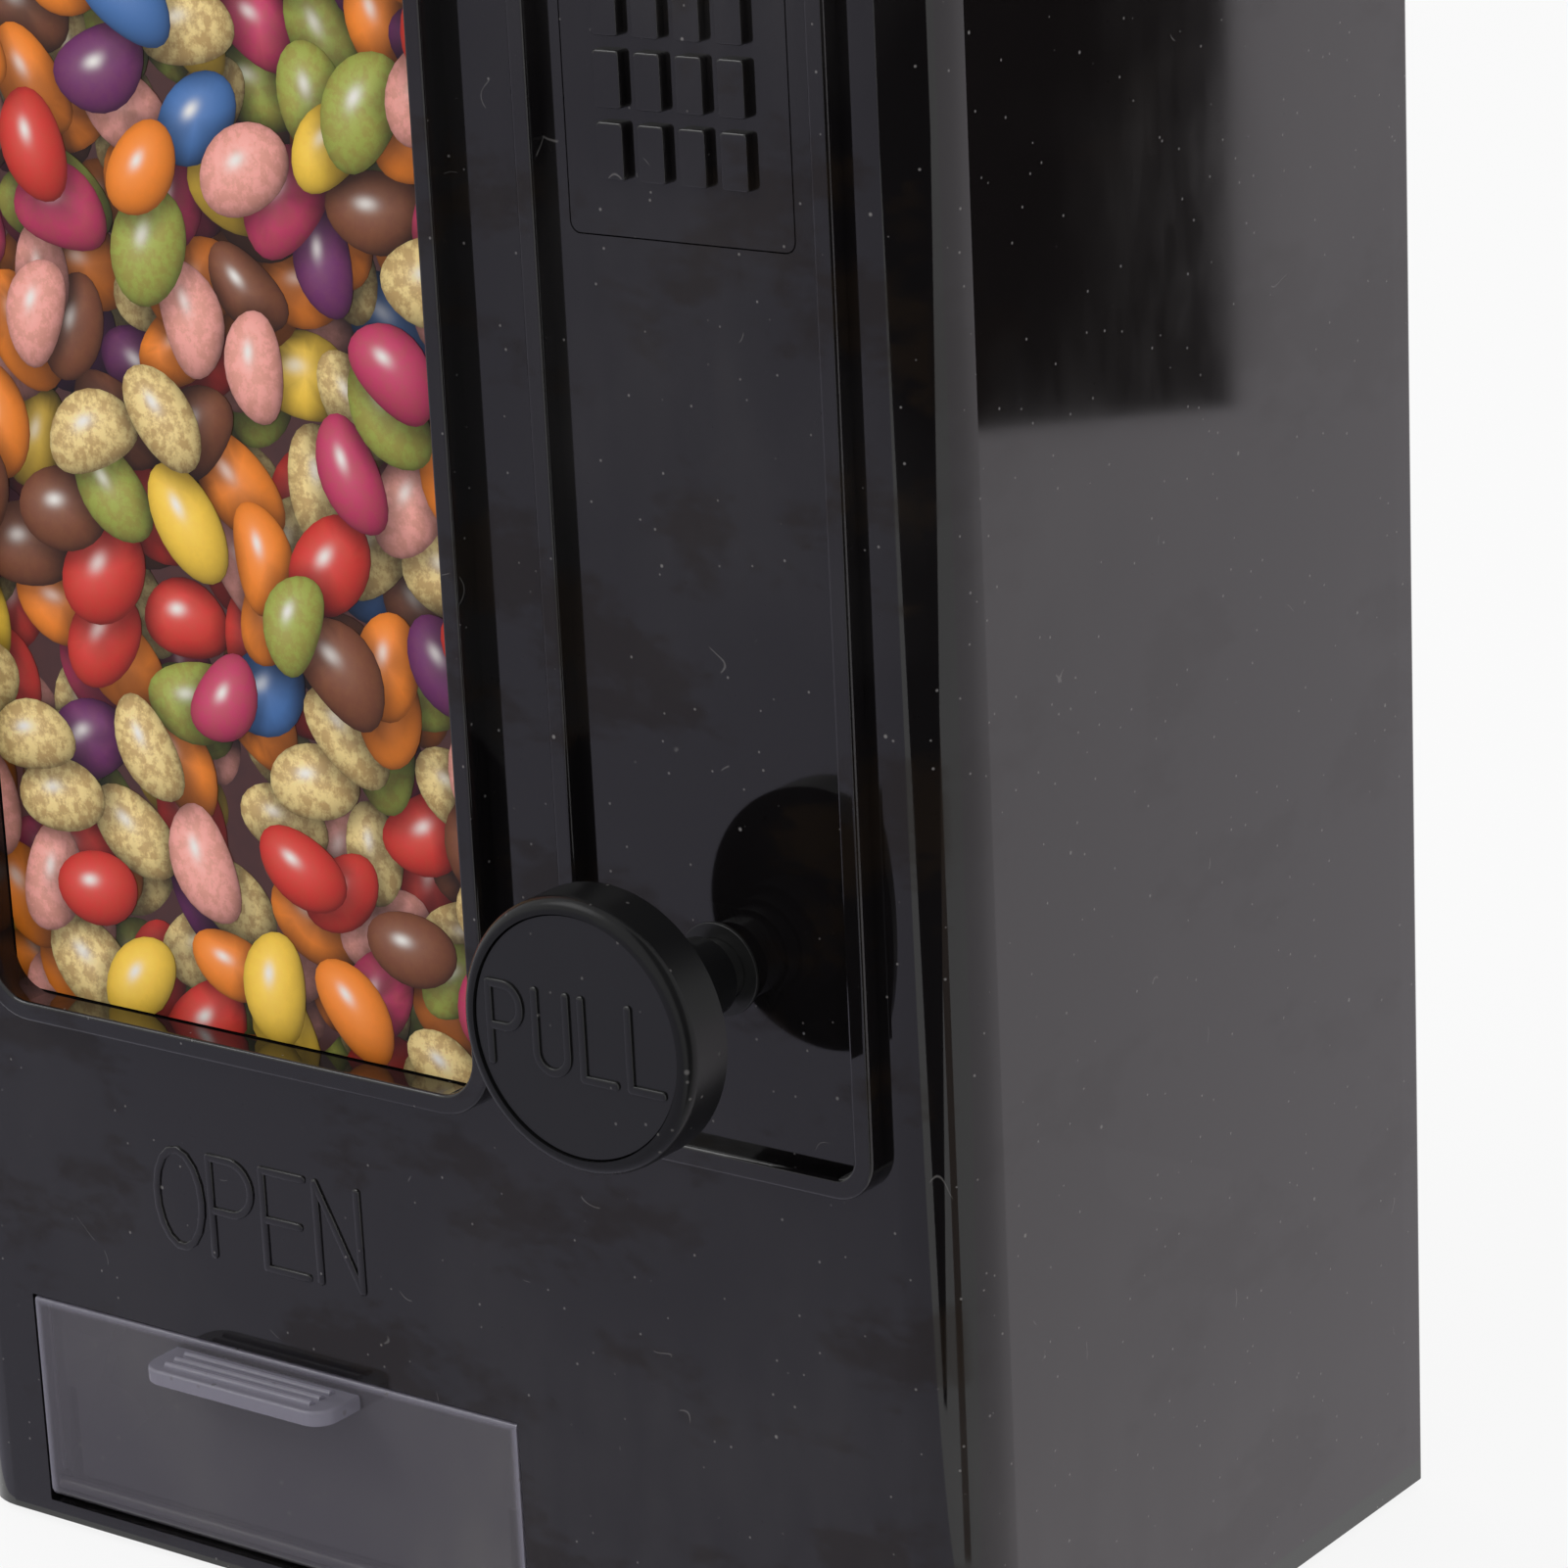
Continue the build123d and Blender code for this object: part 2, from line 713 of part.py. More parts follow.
def slide_track():
    """The square tube that the dispensing slide runs in, with its inlet and drop hole."""
    x0 = slide_left_x - soft_gap
    x1 = slide_right_x + soft_gap
    rear = slide_rear_y + part_gap
    track = block(x0 - track_wall, x1 + track_wall, track_front_y, rear, track_bottom, track_top)
    track -= block(
        x0, x1, track_front_y - cut_over, rear + cut_over, slide_bottom - soft_gap, slide_top + soft_gap
    )
    track -= block(
        pocket_left_x, pocket_left_x + pocket_width, pocket_front_y, pocket_front_y + pocket_length,
        slide_top, track_top + cut_over,
    )
    track -= block(
        pocket_left_x - drop_margin, pocket_left_x + pocket_width + drop_margin,
        drop_front_y - drop_margin, drop_front_y + pocket_length + drop_margin,
        track_bottom - cut_over, slide_bottom,
    )
    return track


def mechanism_chassis():
    """The deck under the track, its front flange and the upright wall beside the drop."""
    slot_half = chute_outer_half + part_gap
    deck_bottom = track_bottom - deck_thickness
    rear = bin_rear_y - soft_gap
    chassis = block(partition_x, inner_x - part_gap, chute_front_y, rear, deck_bottom, track_bottom)
    corner = chassis.edges().filter_by(Axis.Z).group_by(Axis.Y)[0].sort_by(Axis.X)[-1]
    chassis = fillet(corner, front_corner_radius - wall)
    chassis += block(
        partition_x, partition_x + chassis_wall, chute_front_y, rear, chassis_low_z, deck_bottom + seat_gap
    )
    chassis += block(
        chassis_front_left_x, chute_exit_x - slot_half, chute_front_y, chute_front_y + chassis_wall,
        chassis_low_z, track_bottom,
    )
    return chassis - block(
        chute_clear_x - slot_half, chute_clear_x + slot_half,
        chute_front_y - cut_over, chute_rear_y + part_gap, deck_bottom - cut_over, track_bottom + cut_over,
    )


def delivery_chute():
    """The short slope with side cheeks that turns the falling candy towards the tray."""
    floor = [
        (partition_x, delivery_high_z), (partition_x, delivery_high_z - delivery_wall),
        (delivery_low_x, delivery_low_z - delivery_wall), (delivery_low_x, delivery_low_z),
    ]
    cheek = [
        (partition_x, track_bottom - part_gap), (partition_x, delivery_high_z - delivery_wall),
        (delivery_low_x, delivery_low_z - delivery_wall), (delivery_low_x, delivery_high_z),
    ]
    chute = front_prism(floor, delivery_front_y, delivery_rear_y)
    chute += front_prism(cheek, delivery_front_y, delivery_front_y + delivery_wall)
    return chute + front_prism(cheek, delivery_rear_y - delivery_wall, delivery_rear_y)


def catch_tray():
    """The bay behind the flap, with a floor that slopes down to the front."""
    inner_left = flap_left_x + tray_wall
    inner_right = flap_right_x - tray_wall
    sides = [
        (tray_front_y, base_top), (tray_rear_y, base_top), (tray_rear_y, tray_height),
        (tray_front_y + tray_cut_back, tray_height), (tray_front_y, flap_axis_z),
    ]
    tray = side_prism(sides, flap_left_x, flap_right_x)
    slope = (tray_floor_rear_z - tray_floor_front_z) / (tray_rear_y - tray_wall - tray_front_y)
    room = [
        (tray_front_y - cut_over, tray_floor_front_z + tray_wall - cut_over * slope),
        (tray_rear_y - tray_wall, tray_floor_rear_z + tray_wall),
        (tray_rear_y - tray_wall, tray_height + cut_over), (tray_front_y - cut_over, tray_height + cut_over),
    ]
    tray -= side_prism(room, inner_left, inner_right)
    under = [
        (tray_front_y + tray_wall, base_top - cut_over), (tray_rear_y - tray_wall, base_top - cut_over),
        (tray_rear_y - tray_wall, tray_floor_rear_z), (tray_front_y + tray_wall, tray_floor_front_z),
    ]
    return tray - side_prism(under, inner_left, inner_right)


def rod_bush():
    """The flanged guide of the pull rod."""
    bush = rod_y(control_x, knob_z, front_y, nut_back_y - running_gap, bush_radius)
    flange = rod_y(control_x, knob_z, front_y - bush_flange_height, front_y, bush_flange_radius)
    bush += fillet(flange.edges().group_by(Axis.Y)[0], bush_edge_radius)
    return bush - rod_y(
        control_x, knob_z, front_y - bush_flange_height - cut_over, nut_back_y + cut_over,
        rod_radius + bush_bore_gap,
    )


def bush_nut():
    """The hexagon nut that clamps the bush from inside."""
    outline = RegularPolygon(nut_flats / 2, 6, major_radius=False)
    nut = Pos(control_x, nut_back_y, knob_z) * Rot(90, 0, 0) * extrude(outline, nut_height)
    return nut - rod_y(
        control_x, knob_z, inner_front_y - cut_over, nut_back_y + cut_over, bush_radius + running_gap
    )


def knob_body():
    """The round knob with its stepped hub and a shallow seat for the face cap."""
    disc = rod_y(control_x, knob_z, knob_face_y, knob_back_y, knob_radius)
    disc = fillet(disc.edges().group_by(Axis.Y)[0], knob_edge_radius)
    hub_front = knob_back_y
    for radius, length in hub_steps:
        disc += rod_y(control_x, knob_z, hub_front, hub_front + length, radius)
        hub_front += length
    disc -= rod_y(
        control_x, knob_z, knob_face_y - cut_over, knob_cap_seat_y, knob_cap_radius + knob_cap_gap
    )
    disc -= rod_y(
        control_x, knob_z, knob_screw_seat_y + knob_web, hub_front + cut_over, rod_radius + running_gap
    )
    disc -= rod_y(control_x, knob_z, knob_face_y, knob_screw_seat_y, screw_head_radius + part_gap)
    return disc - rod_y(control_x, knob_z, knob_face_y, hub_front, screw_radius + part_gap)


def knob_cap():
    """The disc that closes the front of the knob, a little behind the knob's edge."""
    return rod_y(
        control_x, knob_z, knob_face_y + knob_cap_recess, knob_cap_seat_y - running_gap, knob_cap_radius
    )


def knob_screw():
    """The screw that holds the knob on its rod."""
    return screw(control_x, knob_screw_seat_y, knob_z, Rot(90, 0, 0))


def pull_rod():
    """The round rod from the knob to the dispensing slide."""
    front = knob_screw_seat_y + knob_web + running_gap
    rear = slide_front_y + rod_socket_depth - running_gap
    rod = rod_y(control_x, knob_z, front, rear, rod_radius)
    thread_end = knob_screw_seat_y + screw_length + part_gap
    rod -= rod_y(control_x, knob_z, front - cut_over, thread_end, screw_radius + running_gap)
    return rod - cross_pin_hole()


def cross_pin_hole():
    """The upright hole through the slide and the rod's end."""
    y = slide_front_y + cross_pin_inset
    return rod_z(control_x, y, slide_bottom - cut_over, slide_top + cut_over, cross_pin_radius + running_gap)


def rod_cross_pin():
    """The pin that ties the rod to the slide."""
    y = slide_front_y + cross_pin_inset
    return rod_z(control_x, y, slide_bottom + part_gap, slide_top - part_gap, cross_pin_radius)


def dispensing_slide():
    """The block with one portion pocket that carries candy from the bin to the drop."""
    slide = block(slide_left_x, slide_right_x, slide_front_y, slide_rear_y, slide_bottom, slide_top)
    slide -= block(
        pocket_left_x, pocket_left_x + pocket_width, pocket_front_y, pocket_front_y + pocket_length,
        slide_bottom - cut_over, slide_top + cut_over,
    )
    slide -= rod_y(
        control_x, knob_z, slide_front_y - cut_over, slide_front_y + rod_socket_depth,
        rod_radius + running_gap,
    )
    return slide - cross_pin_hole()


def biarc(start, start_way, end, end_way):
    """Two arcs that join two points with the given directions at both ends."""
    chord = end - start
    ways = start_way + end_way
    lead = 2 * (1 - start_way.dot(end_way))
    reach = (sqrt(chord.dot(ways) ** 2 + lead * chord.dot(chord)) - chord.dot(ways)) / lead
    middle = (start + start_way * reach + end - end_way * reach) * 0.5
    first = Edge.make_tangent_arc(start, start_way, middle)
    second = Edge.make_tangent_arc(end, end_way * -1, middle)
    return [first, second]


def coil_point(turn, front, pitch):
    """A point on the coil's centre line after some turns, and the direction there."""
    angle = 2 * pi * turn
    point = Vector(
        control_x + spring_coil_radius * cos(angle), front + pitch * turn,
        knob_z + spring_coil_radius * sin(angle),
    )
    way = Vector(-spring_coil_radius * sin(angle), pitch / (2 * pi), spring_coil_radius * cos(angle))
    return point, way.normalized()


def least_coil_gap(front, pitch):
    """The least distance between the wire's surfaces on curls that follow each other."""
    samples = spring_turns * spring_gap_samples
    points = [coil_point(i / spring_gap_samples, front, pitch)[0] for i in range(samples + 1)]
    apart = spring_gap_samples // 2
    gaps = [
        (points[i] - points[j]).length
        for i in range(samples + 1)
        for j in range(i + apart, min(i + 3 * apart, samples) + 1)
    ]
    return min(gaps) - 2 * spring_wire_radius


def return_spring():
    """The open coil round the rod, between the bush nut and the slide."""
    front = nut_back_y + spring_wire_radius + running_gap
    rear = slide_front_y - spring_wire_radius - running_gap
    pitch = (rear - front) / spring_turns
    edges = []
    steps = spring_turns * spring_steps_per_turn
    for step in range(steps):
        here = coil_point(step / spring_steps_per_turn, front, pitch)
        there = coil_point((step + 1) / spring_steps_per_turn, front, pitch)
        edges += biarc(here[0], here[1], there[0], there[1])
    path = Wire(edges)
    start, way = coil_point(0, front, pitch)
    section = Plane(origin=start, z_dir=way) * Circle(spring_wire_radius)
    coil = sweep(section, path=path)
    least = least_coil_gap(front, pitch)
    print(f"return_spring: {spring_turns} curls, least gap of the wire to itself {least:.2f} mm")
    return coil


def delivery_flap():
    """The clear flap with its hinge barrel, two inner cheeks and a ribbed pull tab."""
    plate = block(flap_left_x, flap_right_x, front_y, front_y + flap_thickness, flap_axis_z, flap_top)
    top_edges = plate.edges().filter_by(Axis.X).group_by(Axis.Z)[-1]
    plate = fillet(top_edges, flap_edge_radius)
    plate += rod_x(flap_left_x, flap_right_x, flap_axis_y, flap_axis_z, hinge_setback)
    for x0 in (flap_left_x + cheek_inset, flap_right_x - cheek_inset - cheek_thickness):
        plate += flap_cheek(x0)
    plate += flap_tab()
    bore = hinge_pin_radius + hinge_bore_gap
    return plate - rod_x(flap_left_x - cut_over, flap_right_x + cut_over, flap_axis_y, flap_axis_z, bore)


def flap_cheek(x0):
    """A quarter-round cheek that keeps candy from falling off the side of the open flap."""
    low = radians(cheek_low_angle)
    start = (cheek_radius * cos(low), cheek_radius * sin(low))
    middle = (cheek_radius * cos((low + pi / 2) / 2), cheek_radius * sin((low + pi / 2) / 2))
    edges = [
        Line((x0, flap_axis_y, flap_axis_z), (x0, flap_axis_y + start[0], flap_axis_z + start[1])),
        ThreePointArc(
            (x0, flap_axis_y + start[0], flap_axis_z + start[1]),
            (x0, flap_axis_y + middle[0], flap_axis_z + middle[1]),
            (x0, flap_axis_y, flap_axis_z + cheek_radius),
        ),
        Line((x0, flap_axis_y, flap_axis_z + cheek_radius), (x0, flap_axis_y, flap_axis_z)),
    ]
    return extrude(make_face(Wire(edges)), cheek_thickness, dir=(1, 0, 0))


def flap_tab():
    """The finger tab at the flap's upper edge, with ribs along its top."""
    top = flap_top - tab_drop
    outline = Pos(flap_centre_x, front_y - tab_reach / 2 + tab_corner_radius / 2) * RectangleRounded(
        tab_width, tab_reach + tab_corner_radius, tab_corner_radius
    )
    tab = Pos(0, 0, top - tab_thickness) * extrude(outline, tab_thickness)
    tab = fillet(tab.edges().group_by(Axis.Z)[0] + tab.edges().group_by(Axis.Z)[-1], tab_edge_radius)
    tab -= block(
        flap_centre_x - tab_width, flap_centre_x + tab_width,
        front_y + flap_thickness - root_depth, front_y + tab_corner_radius + cut_over,
        top - tab_thickness - cut_over, top + cut_over,
    )
    rib_half = tab_width / 2 - tab_corner_radius
    for rib in range(tab_ribs):
        y = front_y - tab_rib_pitch * (rib + 1)
        tab += rod_x(flap_centre_x - rib_half, flap_centre_x + rib_half, y, top, tab_rib_radius)
    return tab


def flap_pin():
    """The steel pin that the flap turns on."""
    reach = flap_gap + flap_ear_length
    return rod_x(flap_left_x - reach, flap_right_x + reach, flap_axis_y, flap_axis_z, hinge_pin_radius)


def refill_lid():
    """The lid over the bin's mouth, with a locating lip, a front tab and the hinge barrel."""
    rear = lid_hinge_y - lid_barrel_radius - lid_rear_gap
    lid = block(-lid_half_width, lid_half_width, lid_front_y, rear, lid_bottom, lid_bottom + lid_thickness)
    corners = lid.edges().filter_by(Axis.Z).sort_by(Axis.Y)[:2]
    lid = fillet(corners, front_corner_radius - wall)
    lid += block(
        -lid_tab_width / 2, lid_tab_width / 2, lid_front_y - lid_tab_reach, lid_front_y + root_depth,
        lid_bottom, lid_bottom + lid_thickness,
    )
    lid = fillet(lid.edges().group_by(Axis.Z)[-1], lid_edge_radius)
    lid += rod_x(-lid_hinge_half, lid_hinge_half, lid_hinge_y, lid_axis_z, lid_barrel_radius)
    lid += block(
        -lid_hinge_half, lid_hinge_half, rear - root_depth, lid_hinge_y,
        lid_bottom, lid_bottom + lid_thickness - lid_edge_radius,
    )
    x0 = mouth_left_x + lid_lip_gap
    x1 = mouth_right_x - lid_lip_gap
    y0 = mouth_front_y + lid_lip_gap
    y1 = mouth_rear_y - lid_lip_gap
    lip = block(x0, x1, y0, y1, lid_bottom - lid_lip_height, lid_bottom)
    lip -= block(
        x0 + lid_lip_wall, x1 - lid_lip_wall, y0 + lid_lip_wall, y1 - lid_lip_wall,
        lid_bottom - lid_lip_height - cut_over, lid_bottom,
    )
    lid += lip
    return lid - rod_x(-width, width, lid_hinge_y, lid_axis_z, hinge_pin_radius + hinge_bore_gap)


def lid_pin():
    """The steel pin that the lid turns on."""
    reach = lid_hinge_half + soft_gap + lid_ear_length
    return rod_x(-reach, reach, lid_hinge_y, lid_axis_z, hinge_pin_radius)


def coin_drawer():
    """The open-topped drawer that catches the coins and slides out at the back."""
    bottom = base_top + drawer_gap
    drawer = block(drawer_left_x, drawer_right_x, drawer_front_y, back_y, bottom, drawer_top)
    drawer -= block(
        drawer_left_x + drawer_wall, drawer_right_x - drawer_wall, drawer_front_y + drawer_wall,
        back_y - drawer_face, bottom + drawer_wall, drawer_top + cut_over,
    )
    middle = (drawer_left_x + drawer_right_x) / 2
    notch = rounded_block(
        middle, drawer_top, notch_width, 2 * notch_depth, notch_radius,
        back_y - drawer_face - cut_over, back_y + cut_over,
    )
    return drawer - notch


parts = {
    "housing_shell": housing_shell,
    "rear_cover": rear_cover,
    "rear_cover_screws": rear_cover_screws,
    "base_plate": base_plate,
    "base_screws": base_screws,
    "rubber_feet": rubber_feet,
    "picture_card": picture_card,
    "key_plate": key_plate,
    "coin_plate": coin_plate,
    "coin_chute": coin_chute,
    "candy_bin": candy_bin,
    "bin_bracket": bin_bracket,
    "slide_track": slide_track,
    "mechanism_chassis": mechanism_chassis,
    "delivery_chute": delivery_chute,
    "catch_tray": catch_tray,
    "rod_bush": rod_bush,
    "bush_nut": bush_nut,
    "return_spring": return_spring,
    "knob_body": knob_body,
    "knob_cap": knob_cap,
    "knob_screw": knob_screw,
    "pull_rod": pull_rod,
    "rod_cross_pin": rod_cross_pin,
    "dispensing_slide": dispensing_slide,
    "delivery_flap": delivery_flap,
    "flap_pin": flap_pin,
    "refill_lid": refill_lid,
    "lid_pin": lid_pin,
    "coin_drawer": coin_drawer,
}

os.makedirs("parts", exist_ok=True)
for name, make in parts.items():
    shape = make()
    solids = shape if isinstance(shape, list) else list(shape.solids())
    export_step(Compound(children=solids), f"parts/{name}.step")
    print(name, len(solids), "solid" if len(solids) == 1 else "solids")
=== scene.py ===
"""Looks of a counter-top candy dispenser in smoke plastic, with a printed card, a knob and a clear flap.

The packed solids stay where they are and get procedural materials. Surfaces worked out here add the
raised words, the printed candy and the spring's wire, and a white studio holds the camera. Lengths are
in metres, +Z is up and the front faces -Y.
"""
import json
import math

import bmesh
import bpy
import numpy as np
from bpy.props import FloatProperty, FloatVectorProperty, IntProperty, PointerProperty
from mathutils import Matrix, Vector


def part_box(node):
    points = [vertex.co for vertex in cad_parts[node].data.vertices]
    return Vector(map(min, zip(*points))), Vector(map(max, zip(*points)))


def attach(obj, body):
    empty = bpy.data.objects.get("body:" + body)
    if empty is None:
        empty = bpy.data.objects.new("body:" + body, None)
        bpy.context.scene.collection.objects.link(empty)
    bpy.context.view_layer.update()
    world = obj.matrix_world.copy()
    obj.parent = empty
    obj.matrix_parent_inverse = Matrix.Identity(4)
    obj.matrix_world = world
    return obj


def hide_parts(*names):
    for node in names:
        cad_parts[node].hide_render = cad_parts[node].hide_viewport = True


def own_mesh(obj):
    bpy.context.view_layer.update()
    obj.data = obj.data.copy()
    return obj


bl_info = {
    "name": "Candy Dispenser Looks",
    "version": (1, 0, 0),
    "blender": (4, 5, 0),
    "location": "View3D > Sidebar > Dispenser",
    "description": "Materials, small surfaces and a studio for a packed candy dispenser",
    "category": "Object",
}

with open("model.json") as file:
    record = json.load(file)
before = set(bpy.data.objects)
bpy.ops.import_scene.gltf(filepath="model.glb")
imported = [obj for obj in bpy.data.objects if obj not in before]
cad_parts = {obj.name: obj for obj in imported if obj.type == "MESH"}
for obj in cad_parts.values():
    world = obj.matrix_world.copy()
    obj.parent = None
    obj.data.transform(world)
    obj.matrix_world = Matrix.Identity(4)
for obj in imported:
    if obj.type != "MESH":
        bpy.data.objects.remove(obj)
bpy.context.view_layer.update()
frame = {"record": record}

MM = 0.001


# Meshes from arrays

MERGE_DISTANCE = 1e-7
SHARP_ANGLE = math.radians(40)
STROKE_END_STEPS = 4
STROKE_SIDES = 16
STROKE_POWER = 0.5


def grid_faces(rows, columns, wrap_rows, wrap_columns):
    """Quads between neighbouring points of a grid, which may close on itself either way."""
    r = np.arange(rows if wrap_rows else rows - 1)
    c = np.arange(columns if wrap_columns else columns - 1)
    r, c = [index.ravel() for index in np.meshgrid(r, c, indexing="ij")]
    r_next, c_next = (r + 1) % rows, (c + 1) % columns
    corners = (r * columns + c, r_next * columns + c, r_next * columns + c_next, r * columns + c_next)
    return np.stack(corners, axis=1)


def add_piece(name, mesh, body, material):
    """Puts a mesh in the scene as a piece that rides on a body and has the given material."""
    piece = bpy.data.objects.new(name, mesh)
    bpy.context.scene.collection.objects.link(piece)
    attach(piece, body)
    mesh.materials.append(material)
    return piece


def turn_outwards(mesh, merge):
    """Points a mesh's faces outwards, after its doubled points are merged where that is asked for."""
    work = bmesh.new()
    work.from_mesh(mesh)
    if merge:
        bmesh.ops.remove_doubles(work, verts=work.verts, dist=MERGE_DISTANCE)
    bmesh.ops.recalc_face_normals(work, faces=work.faces)
    work.to_mesh(mesh)
    work.free()


def mesh_from_grids(name, grids):
    """One mesh from grids of points, with its poles and seams merged and its faces outwards.

    Each grid is (points, wrap_rows, wrap_columns), where points has rows, columns and XYZ.
    """
    points, faces, start = [], [], 0
    for grid, wrap_rows, wrap_columns in grids:
        rows, columns = grid.shape[:2]
        points.append(grid.reshape(-1, 3))
        faces.append(grid_faces(rows, columns, wrap_rows, wrap_columns) + start)
        start += rows * columns
    mesh = bpy.data.meshes.new(name)
    mesh.from_pydata(np.concatenate(points), [], np.concatenate(faces))
    turn_outwards(mesh, merge=True)
    mesh.shade_smooth()
    mesh.set_sharp_from_angle(angle=SHARP_ANGLE)
    return mesh


def tube(path, around, radius, sides):
    """A round wire with closed ends: a circle carried along a path.

    around points from the coil's axis to each point of the path. The circle lies in the plane of that
    direction and of its cross product with the path's own.
    """
    ahead = np.gradient(path, axis=0)
    ahead /= np.linalg.norm(ahead, axis=1)[:, None]
    across = np.cross(ahead, around)
    across /= np.linalg.norm(across, axis=1)[:, None]
    out = np.cross(across, ahead)
    a = np.linspace(0, 2 * np.pi, sides, endpoint=False)[None, :, None]
    rings = path[:, None] + radius * (np.cos(a) * out[:, None] + np.sin(a) * across[:, None])
    ends = [np.repeat(path[index][None, None], sides, axis=1) for index in (0, -1)]
    return np.concatenate([ends[0], rings, ends[1]]), False, True


def ridge(path, normal, half_width, rise, closed):
    """A raised stroke: a rounded box carried along a path that lies in a plane.

    The box is a superellipse, half_width wide to each side and rise high, above the plane and below it:
    both the cosine and the sine of its angle are raised to STROKE_POWER, with their signs kept. At each
    end of an open stroke it shrinks as cos t while its centre goes on by half_width times sin t.
    """
    if closed:
        ahead = np.roll(path, -1, axis=0) - np.roll(path, 1, axis=0)
    else:
        ahead = np.gradient(path, axis=0)
    ahead /= np.linalg.norm(ahead, axis=1)[:, None]
    share = np.ones(len(path))
    if not closed:
        t = np.radians(np.linspace(90, 0, STROKE_END_STEPS, endpoint=False))
        first = path[0] - half_width * np.sin(t)[:, None] * ahead[0]
        last = path[-1] + half_width * np.sin(t[::-1])[:, None] * ahead[-1]
        path = np.concatenate([first, path, last])
        ahead = np.concatenate([np.repeat(ahead[:1], len(t), 0), ahead, np.repeat(ahead[-1:], len(t), 0)])
        share = np.concatenate([np.cos(t), share, np.cos(t[::-1])])
    side = np.cross(ahead, normal)
    a = np.linspace(0, 2 * np.pi, STROKE_SIDES, endpoint=False)
    cos, sin = [np.sign(value) * np.abs(value) ** STROKE_POWER for value in (np.cos(a), np.sin(a))]
    section = half_width * cos[None, :, None] * side[:, None] + rise * sin[None, :, None] * np.array(normal)
    return path[:, None] + share[:, None, None] * section, closed, True


# Stroke letters, one unit high

LINE_POINTS = 3
BOW_POINTS = 17
E_MIDDLE_SHARE = 0.86
O_WIDTH_SHARE = 1.12
O_END_ANGLE = 345
P_RADIUS = 0.27


def line(start, end):
    """Points along a straight stroke."""
    return np.linspace(start, end, LINE_POINTS)


def bow(centre, wide, high, start, end):
    """An arc of an ellipse, from one angle to another in degrees."""
    t = np.radians(np.linspace(start, end, BOW_POINTS))
    return np.stack([centre[0] + wide * np.cos(t), centre[1] + high * np.sin(t)], axis=1)


def letter_strokes(letter, w):
    """The strokes of a capital letter w wide, as arrays of points. The O's only stroke is a closed ring."""
    half = w / 2
    bowl = bow((half, 1 - P_RADIUS), half, P_RADIUS, 90, -90)
    cup = bow((half, half), half, half, 180, 360)
    stem = line((0, 0), (0, 1))
    foot = line((0, 0), (w, 0))
    letters = {
        "E": [stem, line((0, 1), (w, 1)), line((0, 0.5), (E_MIDDLE_SHARE * w, 0.5)), foot],
        "L": [line((0, 1), (0, 0)), foot],
        "N": [stem, line((0, 1), (w, 0)), line((w, 0), (w, 1))],
        "O": [bow((half, 0.5), O_WIDTH_SHARE * half, 0.5, 0, O_END_ANGLE)],
        "P": [stem, np.concatenate([[(0, 1)], bowl, [(0, 1 - 2 * P_RADIUS)]])],
        "U": [np.concatenate([[(0, 1)], cup, [(w, 1)]])],
    }
    return letters[letter]


def word_grids(word, corner, letter_size, sizes):
    """Raised strokes of a word on a plane that faces -Y.

    The first letter's lower left corner lies at the given corner, and each letter stands one pitch on
    from the last. letter_size holds a letter's height and width and the pitch.
    """
    left, plane_y, bottom = corner
    height, wide, pitch = letter_size
    grids = []
    for place, letter in enumerate(word):
        for points in letter_strokes(letter, wide / height):
            x = left + place * pitch + points[:, 0] * height
            z = bottom + points[:, 1] * height
            path = np.stack([x, np.full_like(x, plane_y), z], axis=1)
            grids.append(ridge(path, (0, -1, 0), sizes.stroke / 2, sizes.rise, letter == "O"))
    return grids


# Printed candy

# Share of the places that each layer of beans takes, from the lowest layer to the highest
LAYER_SHARES = (1.0, 0.9, 0.7, 0.45)

# Shares of a bean's length: the pitch between beans, and how far they reach past the card's edge
PITCH_SHARES = (0.80, 0.70)
EDGE_SHARE = 0.3

# Random spreads: of places in pitches, of length, of width against length and of bend against width
SHAKE = 0.33
LENGTH_SPREAD = (0.88, 1.08)
WIDTH_SPREAD = (0.62, 0.74)
BEND_SPREAD = 0.28

TOP_RINGS = (0.0, 0.55, 0.85, 1.0)
UNDERSIDE_RINGS = (1.0, 0.0)
BEAN_SEGMENTS = 24
PRINT_DEPTH = 0.02 * MM
PRINT_STEP = 0.0003 * MM

# The painted light comes from the upper left: to the right, up and out of the card
LIGHT = np.array([-0.30, 0.36, 0.88])
SHADOW_SHIFT = 0.9 * MM
SHADOW_CORE = 0.9
SHADOW_REACH = 1.55
SHADOW_LIGHT = 0.35

# Share of the beans, colour and how mottled it is
CANDY = (
    (0.15, (0.62, 0.035, 0.025), 0.15),
    (0.11, (0.52, 0.040, 0.120), 0.3),
    (0.15, (0.86, 0.230, 0.020), 0.1),
    (0.07, (0.88, 0.560, 0.060), 0.1),
    (0.18, (0.80, 0.610, 0.260), 1.0),
    (0.12, (0.34, 0.380, 0.070), 0.6),
    (0.03, (0.060, 0.160, 0.400), 0.0),
    (0.09, (0.86, 0.370, 0.320), 0.5),
    (0.06, (0.190, 0.060, 0.028), 0.2),
    (0.04, (0.150, 0.025, 0.120), 0.1),
)


